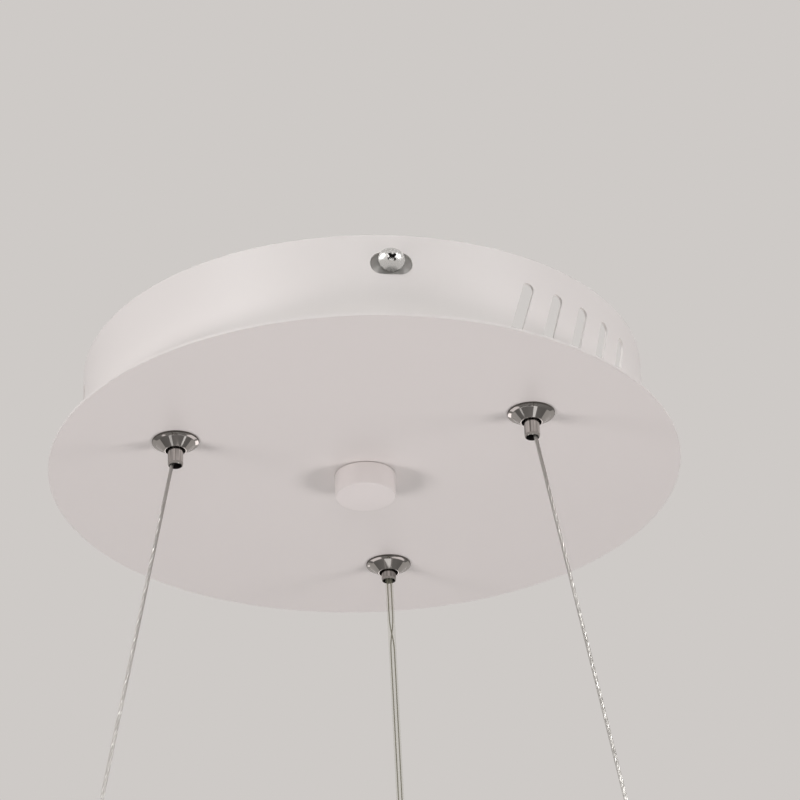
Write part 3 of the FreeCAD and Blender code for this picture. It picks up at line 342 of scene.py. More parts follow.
def cut_at(piece, level, name):
    """Cuts a piece at a level in millimetres, and returns the part below it as another piece."""
    lower = piece.copy()
    lower.data = piece.data.copy()
    lower.name = name
    bpy.context.collection.objects.link(lower)
    for part in (piece, lower):
        bpy.ops.object.select_all(action="DESELECT")
        part.select_set(True)
        bpy.context.view_layer.objects.active = part
        bpy.ops.object.mode_set(mode="EDIT")
        bpy.ops.mesh.select_all(action="SELECT")
        bpy.ops.mesh.bisect(plane_co=(0, 0, level * MM), plane_no=(0, 0, 1),
                            clear_inner=part == piece, clear_outer=part == lower)
        bpy.ops.object.mode_set(mode="OBJECT")
    return lower


for name, pieces in taut_pieces.items():
    lip = HOLDER_LIPS[name]
    for place, head in enumerate(list(pieces)):
        line_name = head.name
        head.name = line_name + "_head"
        line = cut_at(head, lip, line_name)
        foot = cut_at(line, BARREL_TOP, line_name + "_foot")
        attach(head, "canopy")
        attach(line, "canopy")
        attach(foot, "ring")
        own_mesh(line)
        pieces[place] = line
        pieces += [head, foot]
    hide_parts(taut_nodes[name])
    CABLE_THICKNESS if name == "cable" else ROPE_THICKNESS
    read_line(taut[name])

for name, tail in tails.items():
    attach(tail, "canopy")
    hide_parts(name + "_wire_tail")
    read_line(tail_places(name))
    nodes[name + "_wire_stop"]

for piece, node, places, length, thickness, finish_name in (
        (cable_tail, "cable_tail", cable_tail_places, CABLE_TAIL_LENGTH, CABLE_THICKNESS,
         "clear_cable"),
        (mains_lead, "mains_lead", mains_places, MAINS_LENGTH, MAINS_THICKNESS, "white_pvc"),
        (earth_lead, "earth_lead", earth_places, EARTH_LENGTH, EARTH_THICKNESS, "earth_pvc")):
    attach(piece, "canopy")
    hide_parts(node)
    read_line(places)
    [tail_cores] if piece == cable_tail else []
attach(tail_cores, "canopy")

# %% [markdown]
# ### The springs in the grippers
#
# A gripper's spring stands on the balls and presses against the top of the chamber. When the nose is
# pushed up the spring gets shorter. Here each spring only gets a mesh of its own.

# %% Give the springs meshes of their own
for side in ("left", "right"):
    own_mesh(nodes[side + "_release_spring"])


# %% [markdown]
# ## Shader maths as plain expressions
#
# A procedural material is a sum in which the numbers are pictures. Laying out its nodes one by one is
# slow to read, so a small class wraps a node's output and gives it the usual signs: adding two of
# them adds a Math node. Anything else, such as a noise or a bump, comes from one method that takes
# the node's type, its settings and what goes into its sockets.

# %% A value that can be added and multiplied
class Value:
    """One output of a node, on which + - and * add their Math nodes."""

    def __init__(self, finish, socket):
        self.finish = finish
        self.socket = socket

    def sum(self, operation, first, second):
        """Adds one Math node, with a value or a number on each side."""
        return self.finish.node("Math", {"operation": operation}, {0: first, 1: second})

    def __add__(self, other):
        return self.sum("ADD", self, other)

    __radd__ = __add__

    def __mul__(self, other):
        return self.sum("MULTIPLY", self, other)

    __rmul__ = __mul__

    def __sub__(self, other):
        return self.sum("SUBTRACT", self, other)

    def __rsub__(self, other):
        return self.sum("SUBTRACT", other, self)


class Finish:
    """A material on its way: its node tree and the nodes that most finishes need."""

    def __init__(self, name, tree_owner=None):
        self.owner = tree_owner or bpy.data.materials.new(name)
        self.owner.use_nodes = True
        self.tree = self.owner.node_tree

    def node(self, kind, settings, sockets, output=0):
        """Adds a node of any type and returns one of its outputs."""
        added = self.tree.nodes.new("ShaderNode" + kind)
        for key, value in settings.items():
            setattr(added, key, value)
        for key, value in sockets.items():
            if isinstance(value, Value):
                self.tree.links.new(value.socket, added.inputs[key])
            else:
                added.inputs[key].default_value = value
        return Value(self, added.outputs[output])

    def into(self, **sockets):
        """Sets or links the sockets of the main shader, with _ for a space in a name."""
        shader = self.tree.nodes["Principled BSDF"]
        for key, value in sockets.items():
            socket = shader.inputs[key.replace("_", " ")]
            if isinstance(value, Value):
                self.tree.links.new(value.socket, socket)
            else:
                socket.default_value = value

    def place(self):
        """Where a point lies on the object, in metres."""
        return self.node("TexCoord", {}, {}, "Object")

    def stretched(self, where, scale):
        """The same places with each direction multiplied by its own scale."""
        return self.node("Mapping", {}, {"Vector": where, "Scale": scale})

    def noise(self, size, detail=2, where=None):
        """Soft random patches from 0 to 1, each about as large as size."""
        return self.node("TexNoise", {}, {
            "Vector": where or self.place(), "Scale": 1 / size, "Detail": detail}, "Fac")

    def colours(self, share, first, second):
        """Goes from one colour to another as share goes from 0 to 1."""
        return self.node("Mix", {"data_type": "RGBA"}, {0: share, 6: first, 7: second}, 2)

    def bump(self, height, depth):
        """Turns a height from 0 to 1 into dents of that depth."""
        return self.node("Bump", {}, {"Height": height, "Distance": depth, "Strength": 1.0})


print("shader maths is ready")


# %% [markdown]
# ## Finishes
#
# Every finish starts from what the real one is. Powder coat is a baked plastic skin: warm white, half
# dull, with a fine orange peel. Nickel is a mirror with faint polishing haze, and drawn nickel shows
# fine streaks along the tube, whose strong light and dark is painted reflection. Zinc on screws and
# pressed steel is bluish with cloudy spots. Plastics differ in gloss and grain. Each gets a colour that
# varies a little, a roughness that varies more, and dents at the size of the real grain.

# %% White paints and plastics
def shade(colour, factor):
    """The same colour, lighter or darker."""
    return (*(part * factor for part in colour[:3]), 1)


def grained(name, colour, roughness, grain, depth, patch=30 * MM, colour_swing=0.02, gloss_swing=0.08,
            metallic=0.0, **fixed):
    """A finish with soft patches of colour, a roughness that wanders and a fine grain."""
    finish = Finish(name)
    patches = finish.noise(patch)
    fine = finish.noise(grain, 3)
    finish.into(
        Base_Color=finish.colours(patches, shade(colour, 1 - colour_swing), shade(colour, 1 + colour_swing)),
        Roughness=roughness + gloss_swing * (patches - 0.5) + gloss_swing / 2 * (fine - 0.5),
        Normal=finish.bump(fine, depth), Metallic=metallic, **fixed)
    return finish.owner


COAT_WHITE = (0.80, 0.775, 0.758)
powder_coat = grained("powder_coat", COAT_WHITE, 0.48, 0.5 * MM, 0.012 * MM, 45 * MM, 0.012, 0.06)
# The cap's coat is a lighter copy of the powder coat: the extra lightness is painted light on the cap's
# side.
cap_coat_painted_light = grained("cap_coat_painted_light", (0.85, 0.815, 0.80), 0.42, 0.6 * MM, 0.01 * MM, 20 * MM, 0.01, 0.06)
driver_plastic = grained("driver_plastic", (0.74, 0.74, 0.72), 0.45, 0.35 * MM, 0.02 * MM)
terminal_plastic = grained("terminal_plastic", (0.70, 0.69, 0.64), 0.4, 0.5 * MM, 0.02 * MM)
white_pvc = grained("white_pvc", (0.76, 0.76, 0.74), 0.35, 1.5 * MM, 0.03 * MM)
opal_acrylic = grained("opal_acrylic", (0.84, 0.84, 0.82), 0.3, 0.8 * MM, 0.006 * MM, 60 * MM, 0.008,
                       Subsurface_Weight=0.25, Subsurface_Scale=2 * MM)
board_white = grained("board_white", (0.80, 0.80, 0.78), 0.35, 0.25 * MM, 0.01 * MM)
phosphor = grained("phosphor", (0.80, 0.62, 0.12), 0.55, 0.2 * MM, 0.02 * MM, 3 * MM, 0.08)
print("made the white finishes")

# %% Bright and dull metals
zinc = grained("zinc", (0.60, 0.61, 0.62), 0.3, 0.5 * MM, 0.01 * MM, 4 * MM, 0.09, 0.2, 1.0)
bright_zinc = grained("bright_zinc", (0.72, 0.72, 0.71), 0.26, 0.35 * MM, 0.02 * MM, 1.2 * MM, 0.08, 0.25,
                      1.0)
hard_steel = grained("hard_steel", (0.55, 0.54, 0.53), 0.18, 0.4 * MM, 0.004 * MM, 3 * MM, 0.04, 0.1, 1.0)
rope_steel = grained("rope_steel", (0.58, 0.57, 0.55), 0.38, 0.3 * MM, 0.01 * MM, 5 * MM, 0.12, 0.2, 1.0)
crimp_metal = grained("crimp_metal", (0.66, 0.66, 0.65), 0.42, 0.4 * MM, 0.02 * MM, 3 * MM, 0.06, 0.2, 1.0)
galvanised = grained("galvanised", (0.68, 0.68, 0.66), 0.5, 0.6 * MM, 0.02 * MM, 3 * MM, 0.06, 0.2, 0.1)
# Painted shade: a near-black finish for the screws' cross recess.
recess_painted_shade = grained("recess_painted_shade", (0.07, 0.065, 0.06), 0.5, 0.3 * MM, 0.01 * MM, 1 * MM, 0.3, 0.2, 0.8)
brass = grained("brass", (0.66, 0.48, 0.20), 0.28, 0.4 * MM, 0.008 * MM, 3 * MM, 0.08, 0.2, 1.0)
core_wire = grained("core_wire", (0.30, 0.29, 0.24), 0.45, 0.3 * MM, 0.01 * MM, 6 * MM, 0.15, 0.2, 0.6)
print("made the metals")

# %% Parts of the driver
circuit_board = grained("circuit_board", (0.03, 0.16, 0.06), 0.35, 0.3 * MM, 0.01 * MM, 6 * MM, 0.25)
core_iron = grained("core_iron", (0.07, 0.065, 0.06), 0.5, 0.6 * MM, 0.04 * MM, 5 * MM, 0.3)
can_sleeve = grained("can_sleeve", (0.03, 0.035, 0.05), 0.25, 1 * MM, 0.01 * MM, 8 * MM, 0.2)


def earth_finish():
    """Green and yellow bands that wind round the lead."""
    finish = Finish("earth_jacket")
    bands = finish.node("TexWave", {"bands_direction": "Z"}, {
        "Vector": finish.place(), "Scale": 45.0, "Distortion": 2.0, "Detail": 1.0}, "Fac")
    crisp = finish.node("MapRange", {}, {"Value": bands, "From Min": 0.47, "From Max": 0.53})
    finish.into(Base_Color=finish.colours(crisp, (0.03, 0.22, 0.05, 1), (0.62, 0.52, 0.04, 1)),
                Roughness=0.35 + 0.1 * (finish.noise(2 * MM) - 0.5),
                Normal=finish.bump(finish.noise(1 * MM), 0.02 * MM))
    return finish.owner


earth_jacket = earth_finish()


def clear_finish():
    """A soft clear plastic with a yellowish tint, which lets the cores show."""
    finish = Finish("clear_jacket")
    patches = finish.noise(12 * MM)
    finish.into(Base_Color=finish.colours(patches, (0.50, 0.51, 0.38, 1), (0.56, 0.57, 0.44, 1)),
                Roughness=0.18 + 0.1 * (patches - 0.5), Alpha=0.15,
                Normal=finish.bump(finish.noise(2 * MM), 0.02 * MM))
    return finish.owner


clear_jacket = clear_finish()
print("made the plastics of the driver and leads")


# %% [markdown]
# ### Turned and drawn nickel
#
# The cones are turned on a lathe and plated. Turning leaves rings that are exactly round the piece's
# own axis, wherever it hangs, so the pattern can't come from the place in the room. Each turned piece
# carries a map that holds its distance from its axis and its level instead, and noise read from that
# map is a set of perfect rings. The noses are cut from drawn tube, whose marks run along it, so their
# noise is stretched along the vertical, and the strong light and dark of those streaks is painted
# reflection. The rim of a cone, its bore and its thread are duller than its polished slope and darker
# with painted shade: the rim with the shadow where it meets the disc, the bore with the shade inside
# it and the thread with shade in its grooves. Each has a finish of its own.

# %% Turned metal finishes
RING_MAP = "turning"


def turned_metal(name, colour, roughness, ring_size, ring_depth, swing):
    """Plated metal with fine rings round its axis and a faint haze."""
    finish = Finish(name)
    where = finish.node("UVMap", {"uv_map": RING_MAP}, {})
    rings = finish.noise(ring_size, 2, where)
    haze = finish.noise(2.5 * MM)
    finish.into(
        Base_Color=finish.colours(haze, shade(colour, 0.94), shade(colour, 1.05)),
        Metallic=1.0, Roughness=roughness + swing * (haze - 0.5) + swing * (rings - 0.5),
        Normal=finish.bump(rings, ring_depth))
    return finish.owner


def threaded_metal():
    """Nickel with the ridges of a fine thread, one millimetre apart, with painted shade darkening the
    grooves between them.
    """
    finish = Finish("threaded_nickel_groove_shade")
    where = finish.node("UVMap", {"uv_map": RING_MAP}, {})
    level = finish.node("SeparateXYZ", {}, {"Vector": where}, "Y")
    ridges = finish.node("Math", {"operation": "PINGPONG"}, {0: level, 1: 0.5})
    haze = finish.noise(2 * MM)
    # Painted shade: the colour goes dark in the grooves and light on the crests.
    finish.into(Base_Color=finish.colours(ridges * 2, (0.16, 0.15, 0.14, 1), (0.50, 0.48, 0.45, 1)),
                Metallic=1.0, Roughness=0.25 + 0.2 * haze, Normal=finish.bump(ridges, 0.8 * MM))
    return finish.owner


polished_nickel = turned_metal("polished_nickel", (0.39, 0.37, 0.354), 0.07, 0.25, 0.0004 * MM, 0.04)
# Painted shadow: dark nickel for the line where a cone's rim meets the disc.
rim_painted_shade = turned_metal("rim_painted_shade", (0.14, 0.13, 0.12), 0.3, 0.25, 0.0004 * MM, 0.08)
# Painted shade: a near-black finish for the inside of bores and pockets.
bore_painted_shade = turned_metal("bore_painted_shade", (0.05, 0.045, 0.045), 0.55, 0.2, 0.003 * MM, 0.15)
threaded_nickel_groove_shade = threaded_metal()
DRAWN_STRETCH = (900, 900, 35)


def drawn_metal():
    """A drawn nickel tube, with fine streaks along its length: drawing marks, whose strong light and dark is
    painted reflection.
    """
    finish = Finish("drawn_streaks_and_painted_reflection")
    streaks = finish.noise(1, 3, finish.stretched(finish.place(), DRAWN_STRETCH))
    contrast = finish.node("MapRange", {}, {"Value": streaks, "From Min": 0.4, "From Max": 0.62})
    # The streaks are drawing marks, and the wide span from dark to light is painted reflection.
    finish.into(Base_Color=finish.colours(contrast, (0.20, 0.19, 0.18, 1), (0.70, 0.67, 0.65, 1)),
                Metallic=1.0, Roughness=0.12 + 0.12 * streaks, Normal=finish.bump(streaks, 0.01 * MM))
    return finish.owner


drawn_streaks_and_painted_reflection = drawn_metal()
print("made turned and drawn nickel")

# %% [markdown]
# ### Who wears what
#
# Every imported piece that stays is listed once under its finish. The cords come after them: rope steel
# on the ropes, and a clear jacket over dark cores on the cable.

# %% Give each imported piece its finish
FINISHES = {
    powder_coat: ["canopy_pan", "canopy_plate", "ring_channel"],
    bright_zinc: ["side_screws"],
    galvanised: ["mounting_bracket"],
    zinc: ["bracket_weld_nuts", "centre_nipple", "centre_nut",
           "holder_washers", "holder_nuts", "ring_slide_nuts", "ring_joiner", "joiner_screws",
           "driver_screws", "earth_screws"],
    hard_steel: ["left_chuck_balls", "right_chuck_balls", "left_release_spring",
                 "right_release_spring", "left_chuck_sleeve", "right_chuck_sleeve"],
    crimp_metal: ["left_wire_stop", "right_wire_stop", "left_wire_crimp", "right_wire_crimp"],
    clear_jacket: ["ring_lead"],
    opal_acrylic: ["ring_diffuser"],
    board_white: ["led_board"],
    phosphor: ["led_chips"],
    driver_plastic: ["driver_base", "driver_cover"],
    circuit_board: ["driver_board"],
    core_iron: ["driver_transformer"],
    can_sleeve: ["driver_capacitors"],
    terminal_plastic: ["terminal_block"],
    brass: ["terminal_screws", "earth_eyelets"],
}


def finished(piece, material):
    """Puts one finish on a whole piece."""
    piece.data.materials.clear()
    piece.data.materials.append(material)


for material, names in FINISHES.items():
    for name in names:
        finished(nodes[name], material)
for piece in (*taut_pieces["left"], *taut_pieces["right"], *tails.values()):
    finished(piece, rope_steel)
for piece in (*taut_pieces["cable"], tail_cores):
    finished(piece, clear_jacket if "jacket" in piece.name else core_wire)
finished(cable_tail, clear_jacket)
finished(mains_lead, white_pvc)
finished(earth_lead, earth_jacket)
print("finished", sum(len(names) for names in FINISHES.values()), "packed pieces")

# %% [markdown]
# ### The cross in the screw heads
#
# The shade that falls in the cross recess of a plated screw is painted in as a near-black finish. The
# imported screws have the recess as real faces, so only those are picked: they lie
# near the screw's axis, outside the drum's wall, and face across the axis and not along it.

# %% Paint shade into the recess
SCREW_LEVEL = -11.3
RECESS_REACH = 2.9
RECESS_DEPTH = 112.5
ACROSS_THE_AXIS = 0.6
screws = nodes["side_screws"]
screws.data.materials.append(recess_painted_shade)
for face in screws.data.polygons:
    across, deep, high = face.center / MM
    aside = math.hypot(across, high - SCREW_LEVEL)
    faces_across = math.hypot(face.normal.x, face.normal.z) > ACROSS_THE_AXIS
    if aside < RECESS_REACH and abs(deep) > RECESS_DEPTH and faces_across:
        face.material_index = 1
print("darkened", sum(face.material_index for face in screws.data.polygons), "faces")


# %% [markdown]
# ## Turned pieces
#
# A cone, a nose or a cap is round about one axis. Spinning an outline is one way to make it, and
# drawing a circle out step by step is another, nearer to how it is turned: a circle is added at the
# first radius, and each step extrudes it to the next level and widens or narrows it. Sharp rings are
# then picked by their place and bevelled, each with its own rounding.

# %% Turn a piece from a circle
SIDES = 128


def nothing_selected():
    """Leaves no piece selected, so that the next step acts on one piece only."""
    bpy.ops.object.select_all(action="DESELECT")


def turned(name, axis, steps, filled=False):
    """Draws a circle out along an axis through (radius, level) steps, in millimetres."""
    nothing_selected()
    first_radius, first_level = steps[0]
    bpy.ops.mesh.primitive_circle_add(
        vertices=SIDES, radius=first_radius * MM, fill_type="NGON" if filled else "NOTHING",
        location=(axis.x, axis.y, axis.z + first_level * MM))
    piece = bpy.context.object
    piece.name = name
    bpy.ops.object.mode_set(mode="EDIT")
    bpy.ops.mesh.select_all(action="SELECT")
    for (radius, level), (next_radius, next_level) in zip(steps, steps[1:]):
        bpy.ops.mesh.extrude_region_move(
            TRANSFORM_OT_translate={"value": (0, 0, (next_level - level) * MM)})
        ratio = next_radius / radius
        bpy.ops.transform.resize(
            value=(ratio, ratio, 1), center_override=(axis.x, axis.y, axis.z + next_level * MM))
    bpy.ops.mesh.select_all(action="SELECT")
    bpy.ops.mesh.remove_doubles(threshold=0.001 * MM)
    bpy.ops.mesh.normals_make_consistent(inside=False)
    bpy.ops.object.mode_set(mode="OBJECT")
    bpy.ops.object.transform_apply(location=True, rotation=True, scale=True)
    return piece


def rounded(piece, axis, radius, level, rounding, segments=4):
    """Bevels the one ring of edges that lies at a radius and a level."""
    bpy.ops.object.mode_set(mode="EDIT")
    bpy.ops.mesh.select_mode(type="EDGE")
    bpy.ops.mesh.select_all(action="DESELECT")
    bpy.ops.object.mode_set(mode="OBJECT")
    vertices = piece.data.vertices
    near = 0.02 * MM

    def on_ring(vertex):
        offset = vertex.co - axis
        return abs(offset.xy.length - radius * MM) < near and abs(offset.z - level * MM) < near

    for edge in piece.data.edges:
        edge.select = all(on_ring(vertices[index]) for index in edge.vertices)
    bpy.ops.object.mode_set(mode="EDIT")
    bpy.ops.mesh.bevel(offset=rounding * MM, segments=segments, affect="EDGES")
    bpy.ops.object.mode_set(mode="OBJECT")


def ring_map(piece, axis):
    """Writes each corner's distance from the axis and its level, in millimetres, as a map."""
    layer = piece.data.uv_layers.new(name=RING_MAP)
    for corner in piece.data.loops:
        offset = (piece.data.vertices[corner.vertex_index].co - axis) / MM
        layer.data[corner.index].uv = (offset.xy.length, offset.z)


def refinished(piece, axis, material, chosen):
    """Gives another finish to the faces whose radius and level, in millimetres, are chosen."""
    piece.data.materials.append(material)
    slot = len(piece.data.materials) - 1
    for face in piece.data.polygons:
        offset = (face.center - axis) / MM
        if chosen(offset.xy.length, offset.z):
            face.material_index = slot


def smooth(piece, angle=32):
    """Shades a piece smooth, except where its faces meet at more than this many degrees."""
    nothing_selected()
    piece.select_set(True)
    bpy.context.view_layer.objects.active = piece
    bpy.ops.object.shade_smooth_by_angle(angle=math.radians(angle))


def copied(piece, name, move):
    """A second piece of the same form, with its own mesh, somewhere else."""
    twin = piece.copy()
    twin.data = piece.data.copy()
    twin.name = name
    twin.data.transform(Matrix.Translation(move))
    bpy.context.collection.objects.link(twin)
    return twin


print("ready to turn")

# %% [markdown]
# ### The line holders
#
# Each holder is one turned piece: a rolled rim that lies on the disc, a straight cone, a thin lip
# round a pocket, and a threaded shank up through the disc. All three have the same outside. The two
# grippers are bored for their moving noses, and the third holds the cable's fixed sleeve.

# %% Turn the cones
DISC_UNDERSIDE = -43
holder_axes = {name: round_place(HOLDER_CIRCLE, angle, DISC_UNDERSIDE)
               for name, angle in HOLDER_ANGLES.items()}
CONE_OUTSIDE = [(3.9, -2.2), (3.9, -4.2), (4.3, -4.2), (7.6, -1.12), (8.55, -0.9), (9.0, -0.75),
                (9.2, -0.45), (9.2, 0), (5.0, 0), (5.0, 14.0)]
GRIPPER_INSIDE = [(0.95, 14.0), (0.95, 12.5), (4.0, 12.5), (4.0, 0.6), (3.05, 0.6), (3.05, -2.2),
                  (3.9, -2.2)]
HOLDER_INSIDE = [(3.0, 14.0), (3.0, -2.2), (3.9, -2.2)]
# The radius and level of each softened edge, how far it is rounded and in how many steps.
CONE_EDGES = [(7.6, -1.12, 0.2, 4), (9.2, 0, 0.25, 3), (4.3, -4.2, 0.12, 3), (3.9, -4.2, 0.08, 2),
              (5.0, 14.0, 0.6, 2)]
RIM_FROM = 8.98
POCKET_WITHIN = 3.88
THREAD_FROM = 4.7
THREAD_ABOVE = 0.1


def line_holder(name, axis, inside):
    """One cone with its pocket and shank, in its four finishes."""
    piece = turned(name, axis, CONE_OUTSIDE + inside)
    for edge in CONE_EDGES:
        rounded(piece, axis, *edge)
    ring_map(piece, axis)
    finished(piece, polished_nickel)
    # Painted shadow on the rim, where it meets the disc.
    refinished(piece, axis, rim_painted_shade, lambda radius, level: radius > RIM_FROM and level < 0)
    # Painted shade inside the pocket.
    refinished(piece, axis, bore_painted_shade, lambda radius, level: radius < POCKET_WITHIN and level < 0)
    # Painted shade in the grooves of the thread.
    refinished(piece, axis, threaded_nickel_groove_shade,
               lambda radius, level: radius > THREAD_FROM and level > THREAD_ABOVE)
    smooth(piece)
    return piece


left_cone = line_holder("left_gripper_cone", holder_axes["left"], GRIPPER_INSIDE)
right_cone = copied(left_cone, "right_gripper_cone", holder_axes["right"] - holder_axes["left"])
cable_cone = line_holder("cable_holder_cone", holder_axes["cable"], HOLDER_INSIDE)
for piece, node in ((left_cone, "left_gripper_body"), (right_cone, "right_gripper_body"),
                    (cable_cone, "cable_holder")):
    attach(piece, "canopy")
    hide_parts(node)
print("each cone has", len(left_cone.data.polygons), "faces")

# %% [markdown]
# ### The release noses and the cable's sleeve
#
# A gripper's nose is a tube that is pushed up to free the rope. Its mouth is opened wide like a bell
# and its lower edge is well rounded, so the rope can leave at a slant without a kink. The cable's
# sleeve looks the same but is shorter, and doesn't move.

# %% Turn the noses
NOSE_END = -10.8
SLEEVE_END = -7.8
NOSE_STEPS = [(2.5, -10.8), (0.95, -3.0), (0.95, 4.2), (2.4, 4.2), (2.4, 1.6), (3.8, 1.6), (3.8, 0.6),
              (3.0, 0.6), (3.0, -9.7), (2.93, -10.25), (2.77, -10.65), (2.5, -10.8)]
SLEEVE_STEPS = [(2.615, -7.8), (1.65, -3.0), (1.65, 9.0), (3.0, 9.0), (3.0, -6.9), (2.94, -7.35),
                (2.82, -7.68), (2.615, -7.8)]
LIP_FROM = 2.5
LIP_HEIGHT = 1.2
BORE_WITHIN = 2.4
BORE_BELOW = -1


def nose(name, axis, steps, end):
    """A tube with a polished lip at its lower end and painted shade in its bore."""
    piece = turned(name, axis, steps)
    ring_map(piece, axis)
    finished(piece, drawn_streaks_and_painted_reflection)
    refinished(piece, axis, polished_nickel,
               lambda radius, level: radius > LIP_FROM and level < end + LIP_HEIGHT)
    # Painted shade inside the bore.
    refinished(piece, axis, bore_painted_shade, lambda radius, level: radius < BORE_WITHIN and level < BORE_BELOW)
    smooth(piece)
    return piece


left_nose = nose("left_nose", holder_axes["left"], NOSE_STEPS, NOSE_END)
right_nose = copied(left_nose, "right_nose", holder_axes["right"] - holder_axes["left"])
cable_nose = nose("cable_sleeve_nose", holder_axes["cable"], SLEEVE_STEPS, SLEEVE_END)
for piece, node, body in ((left_nose, "left_release_nose", "left_release"),
                          (right_nose, "right_release_nose", "right_release"),
                          (cable_nose, "cable_clamp_sleeve", "canopy")):
    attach(piece, body)
    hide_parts(node)
print("turned three noses")

# %% [markdown]
# ### The cap
#
# The cap is a short white cylinder that screws onto the hollow nipple. A narrower spigot lifts it a
# hair off the disc, which draws a thin dark line round its base.

# %% Turn the cap
CAP_STEPS = [(5, -6.5), (5, 0), (11, 0), (11, -0.4), (12, -0.4), (12, -10)]
CAP_EDGES = [(12, -10, 0.6, 5), (12, -0.4, 0.15, 2)]
cap_axis = Vector((0, 0, DISC_UNDERSIDE * MM))
cap = turned("cap", cap_axis, CAP_STEPS, filled=True)
for edge in CAP_EDGES:
    rounded(cap, cap_axis, *edge)
# The cap's lighter coat paints in light on its side.
finished(cap, cap_coat_painted_light)
smooth(cap)
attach(cap, "canopy")
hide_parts("centre_cap")
print("cap has", len(cap.data.polygons), "faces")

# %% [markdown]
# ### The anchors on the ring
#
# Below, each line ends in a round barrel on the ring's top, with a small funnel that the slanting
# line comes down through and a stem down to its sliding nut.

# %% Turn the anchors
RING_TOP = -621
ring_axes = {name: round_place(RING_CIRCLE, angle, RING_TOP) for name, angle in HOLDER_ANGLES.items()}


def ring_anchor(name, axis, mouth, throat, bore):
    """A barrel with a funnel of the given mouth and throat, and a stem with a bore."""
    steps = [(bore, -5), (3, -5), (3, 0), (4.5, 0), (4.5, 10), (mouth, 10), (throat, 3), (bore, 3),
             (bore, -5)]
    piece = turned(name, axis, steps)
    for edge in ((4.5, 10, 0.8, 4), (4.5, 0, 0.2, 2), (mouth, 10, 0.2, 3)):
        rounded(piece, axis, *edge)
    ring_map(piece, axis)
    finished(piece, polished_nickel)
    smooth(piece)
    return piece


left_anchor = ring_anchor("left_anchor_barrel", ring_axes["left"], 2.384, 0.85, 1.65)
right_anchor = copied(left_anchor, "right_anchor_barrel", ring_axes["right"] - ring_axes["left"])
gland = ring_anchor("cable_gland_barrel", ring_axes["cable"], 3.234, 1.7, 1.65)
for piece, node in ((left_anchor, "left_ring_anchor"), (right_anchor, "right_ring_anchor"),
                    (gland, "ring_cable_gland")):
    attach(piece, "ring")
    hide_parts(node)
print("turned three anchors")

# %% [markdown]
# ## The room and its light
#
# The picture has a plain pale background. It is the world's colour for the camera, for mirrors and
# through glass, and the world's share of the light on the object is smaller. A floor lies well below
# the ring. Its paint is pale and its light is weak, so the polished cones, which mirror it, stay dark
# in their middles. It is seen through from underneath, because the camera may go below it.

# %% Background and floor
BACKGROUND = (0.617, 0.591, 0.571, 1)
WORLD_LIGHT = (0.20, 0.197, 0.194, 1)
FLOOR_LEVEL = -1.6
FLOOR_RADIUS = 2.3
FLOOR_PAINT = (0.62, 0.607, 0.594, 1)
world = bpy.data.worlds.new("pale_room")
bpy.context.scene.world = world
room = Finish("room", world)


def seen_rays(finish):
    """One for a ray from the camera or off a mirror or through glass, and nothing for other rays."""
    kinds = ("Is Camera Ray", "Is Glossy Ray", "Is Transmission Ray")
    rays = [finish.node("LightPath", {}, {}, kind) for kind in kinds]
    return rays[0] + rays[1] + rays[2]


backdrop = room.tree.nodes["Background"]
shown = room.colours(seen_rays(room), WORLD_LIGHT, BACKGROUND)
room.tree.links.new(shown.socket, backdrop.inputs["Color"])

nothing_selected()
bpy.ops.mesh.primitive_circle_add(vertices=128, radius=FLOOR_RADIUS, fill_type="NGON",
                                  location=(0, 0, FLOOR_LEVEL))
floor = bpy.context.object
floor.name = "floor"
paint = Finish("floor_paint")
paint.into(Base_Color=FLOOR_PAINT, Roughness=0.9, Specular_IOR_Level=0.1)
from_below = paint.node("NewGeometry", {}, {}, "Backfacing")
seen_through = paint.node("MixShader", {}, {
    0: from_below, 1: Value(paint, paint.tree.nodes["Principled BSDF"].outputs[0]),
    2: paint.node("BsdfTransparent", {}, {})})
paint.tree.links.new(seen_through.socket, paint.tree.nodes["Material Output"].inputs["Surface"])
finished(floor, paint.owner)
print("floor at", FLOOR_LEVEL, "m")

# %% [markdown]
# ### Lamps
#
# Three high lamps in front light the canopy's side. Two lamps low at the sides and one low in front
# light its underside, and their shadows lie to both sides of the cap and the cones. A lamp above and
# one high at the back light what is seen from other sides. Painted surfaces need no more. Polished
# metal shows lamps as shapes instead, so all but the three high ones in front are kept out of
# mirrors. Six small ones are seen in mirrors only: a narrow bar for the bright band on each cone,
# and three at the back for the rims.

# %% Lamps


def lamp(name, place, width, height, brightness, colour=(1, 1, 1), spread=180, along=(1, 0, 0),
         target=(0, 0, DISC_UNDERSIDE * MM), lights=True, in_mirrors=True):
    """A soft lamp of an even brightness, turned to its target, whose light stays inside its spread."""
    half = math.radians(spread / 2)
    narrowing = 1 - half / math.tan(half)
    data = bpy.data.lights.new(name, "AREA")
    data.shape = "RECTANGLE"
    data.size = width
    data.size_y = height
    data.energy = brightness * math.pi * width * height * narrowing
    data.spread = math.radians(spread)
    data.color = colour
    light = bpy.data.objects.new(name, data)
    bpy.context.collection.objects.link(light)
    back = (Vector(place) - Vector(target)).normalized()
    up = back.cross(Vector(along)).normalized()
    turn = Matrix((up.cross(back), up, back)).transposed().to_4x4()
    light.matrix_world = Matrix.Translation(place) @ turn
    light.visible_camera = False
    light.visible_diffuse = lights
    light.visible_glossy = in_mirrors


BAR_WIDTH = 40 * MM
BAR_SPARE = 60 * MM


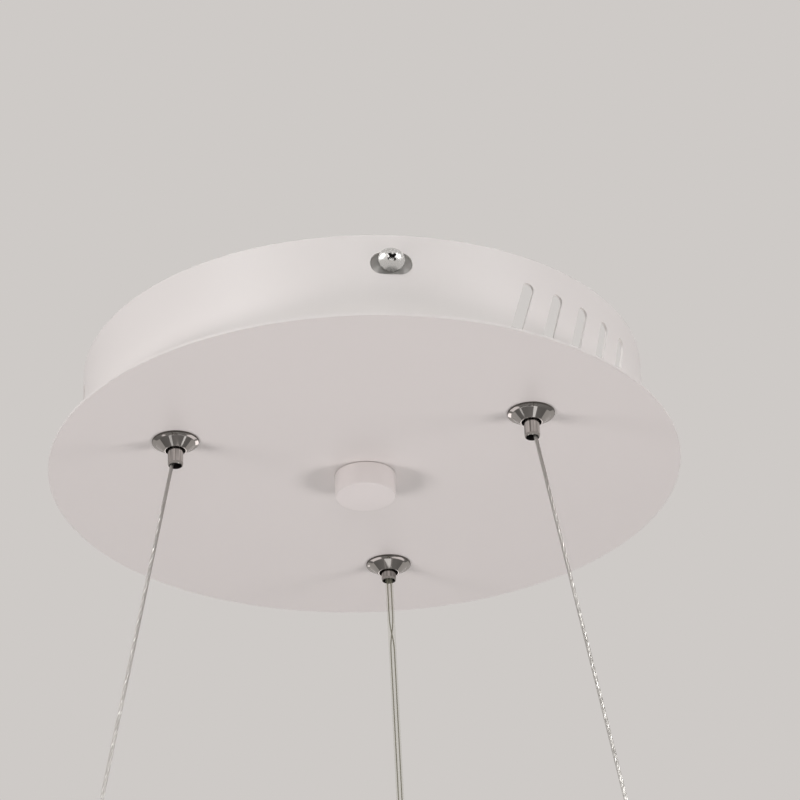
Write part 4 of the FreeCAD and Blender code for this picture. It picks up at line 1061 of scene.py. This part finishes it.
def bar_lamp(name, start, end, brightness):
    """A narrow lamp between two places in millimetres, which draws a bright bar on a cone."""
    start = Vector(start) * MM
    end = Vector(end) * MM
    lamp(name, (start + end) / 2, (end - start).length + BAR_SPARE, BAR_WIDTH, brightness,
         along=end - start, lights=False)


PINK = (1, 0.935, 0.94)
WARM = (1, 0.99, 0.985)
lamp("front_left_lamp", (-2.7, -1.9, 2.6), 1.2, 1.2, 15, WARM, spread=40)
lamp("front_right_lamp", (2.5, -2.2, 2.6), 1.2, 1.2, 12.5, WARM, spread=40)
lamp("front_high_lamp", (-0.2, -3.2, 2.7), 1.0, 1.0, 11.5, WARM, spread=40)
lamp("front_low_lamp", (-0.2, -3.0, -0.95), 1.2, 1.2, 3.5, PINK, spread=60, in_mirrors=False)
lamp("top_lamp", (0, 0.2, 2.4), 1.6, 1.6, 2.2, WARM, in_mirrors=False)
lamp("back_high_lamp", (0.5, 2.9, 1.7), 1.2, 1.2, 6, WARM, spread=40, in_mirrors=False)
lamp("left_lamp", (-1.0, -0.35, -0.75), 0.4, 0.4, 12.6, PINK, in_mirrors=False)
lamp("right_lamp", (1.0, -0.4, -0.8), 0.4, 0.4, 12.3, PINK, in_mirrors=False)
lamp("back_left_lamp", (-0.19, 0.83, -0.95), 0.26, 0.34, 1.1, PINK, lights=False)
lamp("back_right_lamp", (0.3, 0.83, -0.95), 0.26, 0.34, 1.1, PINK, lights=False)
lamp("back_lamp", (0.1, 0.95, -0.545), 0.5, 0.24, 1.8, PINK, lights=False)
bar_lamp("left_bar", (-162, -88, -232), (-126, -49, -262), 0.75)
bar_lamp("right_bar", (73, -61, -236), (108, -122, -197), 1.1)
lamp("cable_bar", Vector((-2, 10, -235)) * MM, 0.11, 0.03, 1, target=Vector((17, 78, -46)) * MM,
     lights=False)
print("fourteen lamps")

# %% [markdown]
# ## Colours
#
# Colours are shown plainly.

# %% Standard colours
scene = bpy.context.scene
scene.view_settings.view_transform = "Standard"
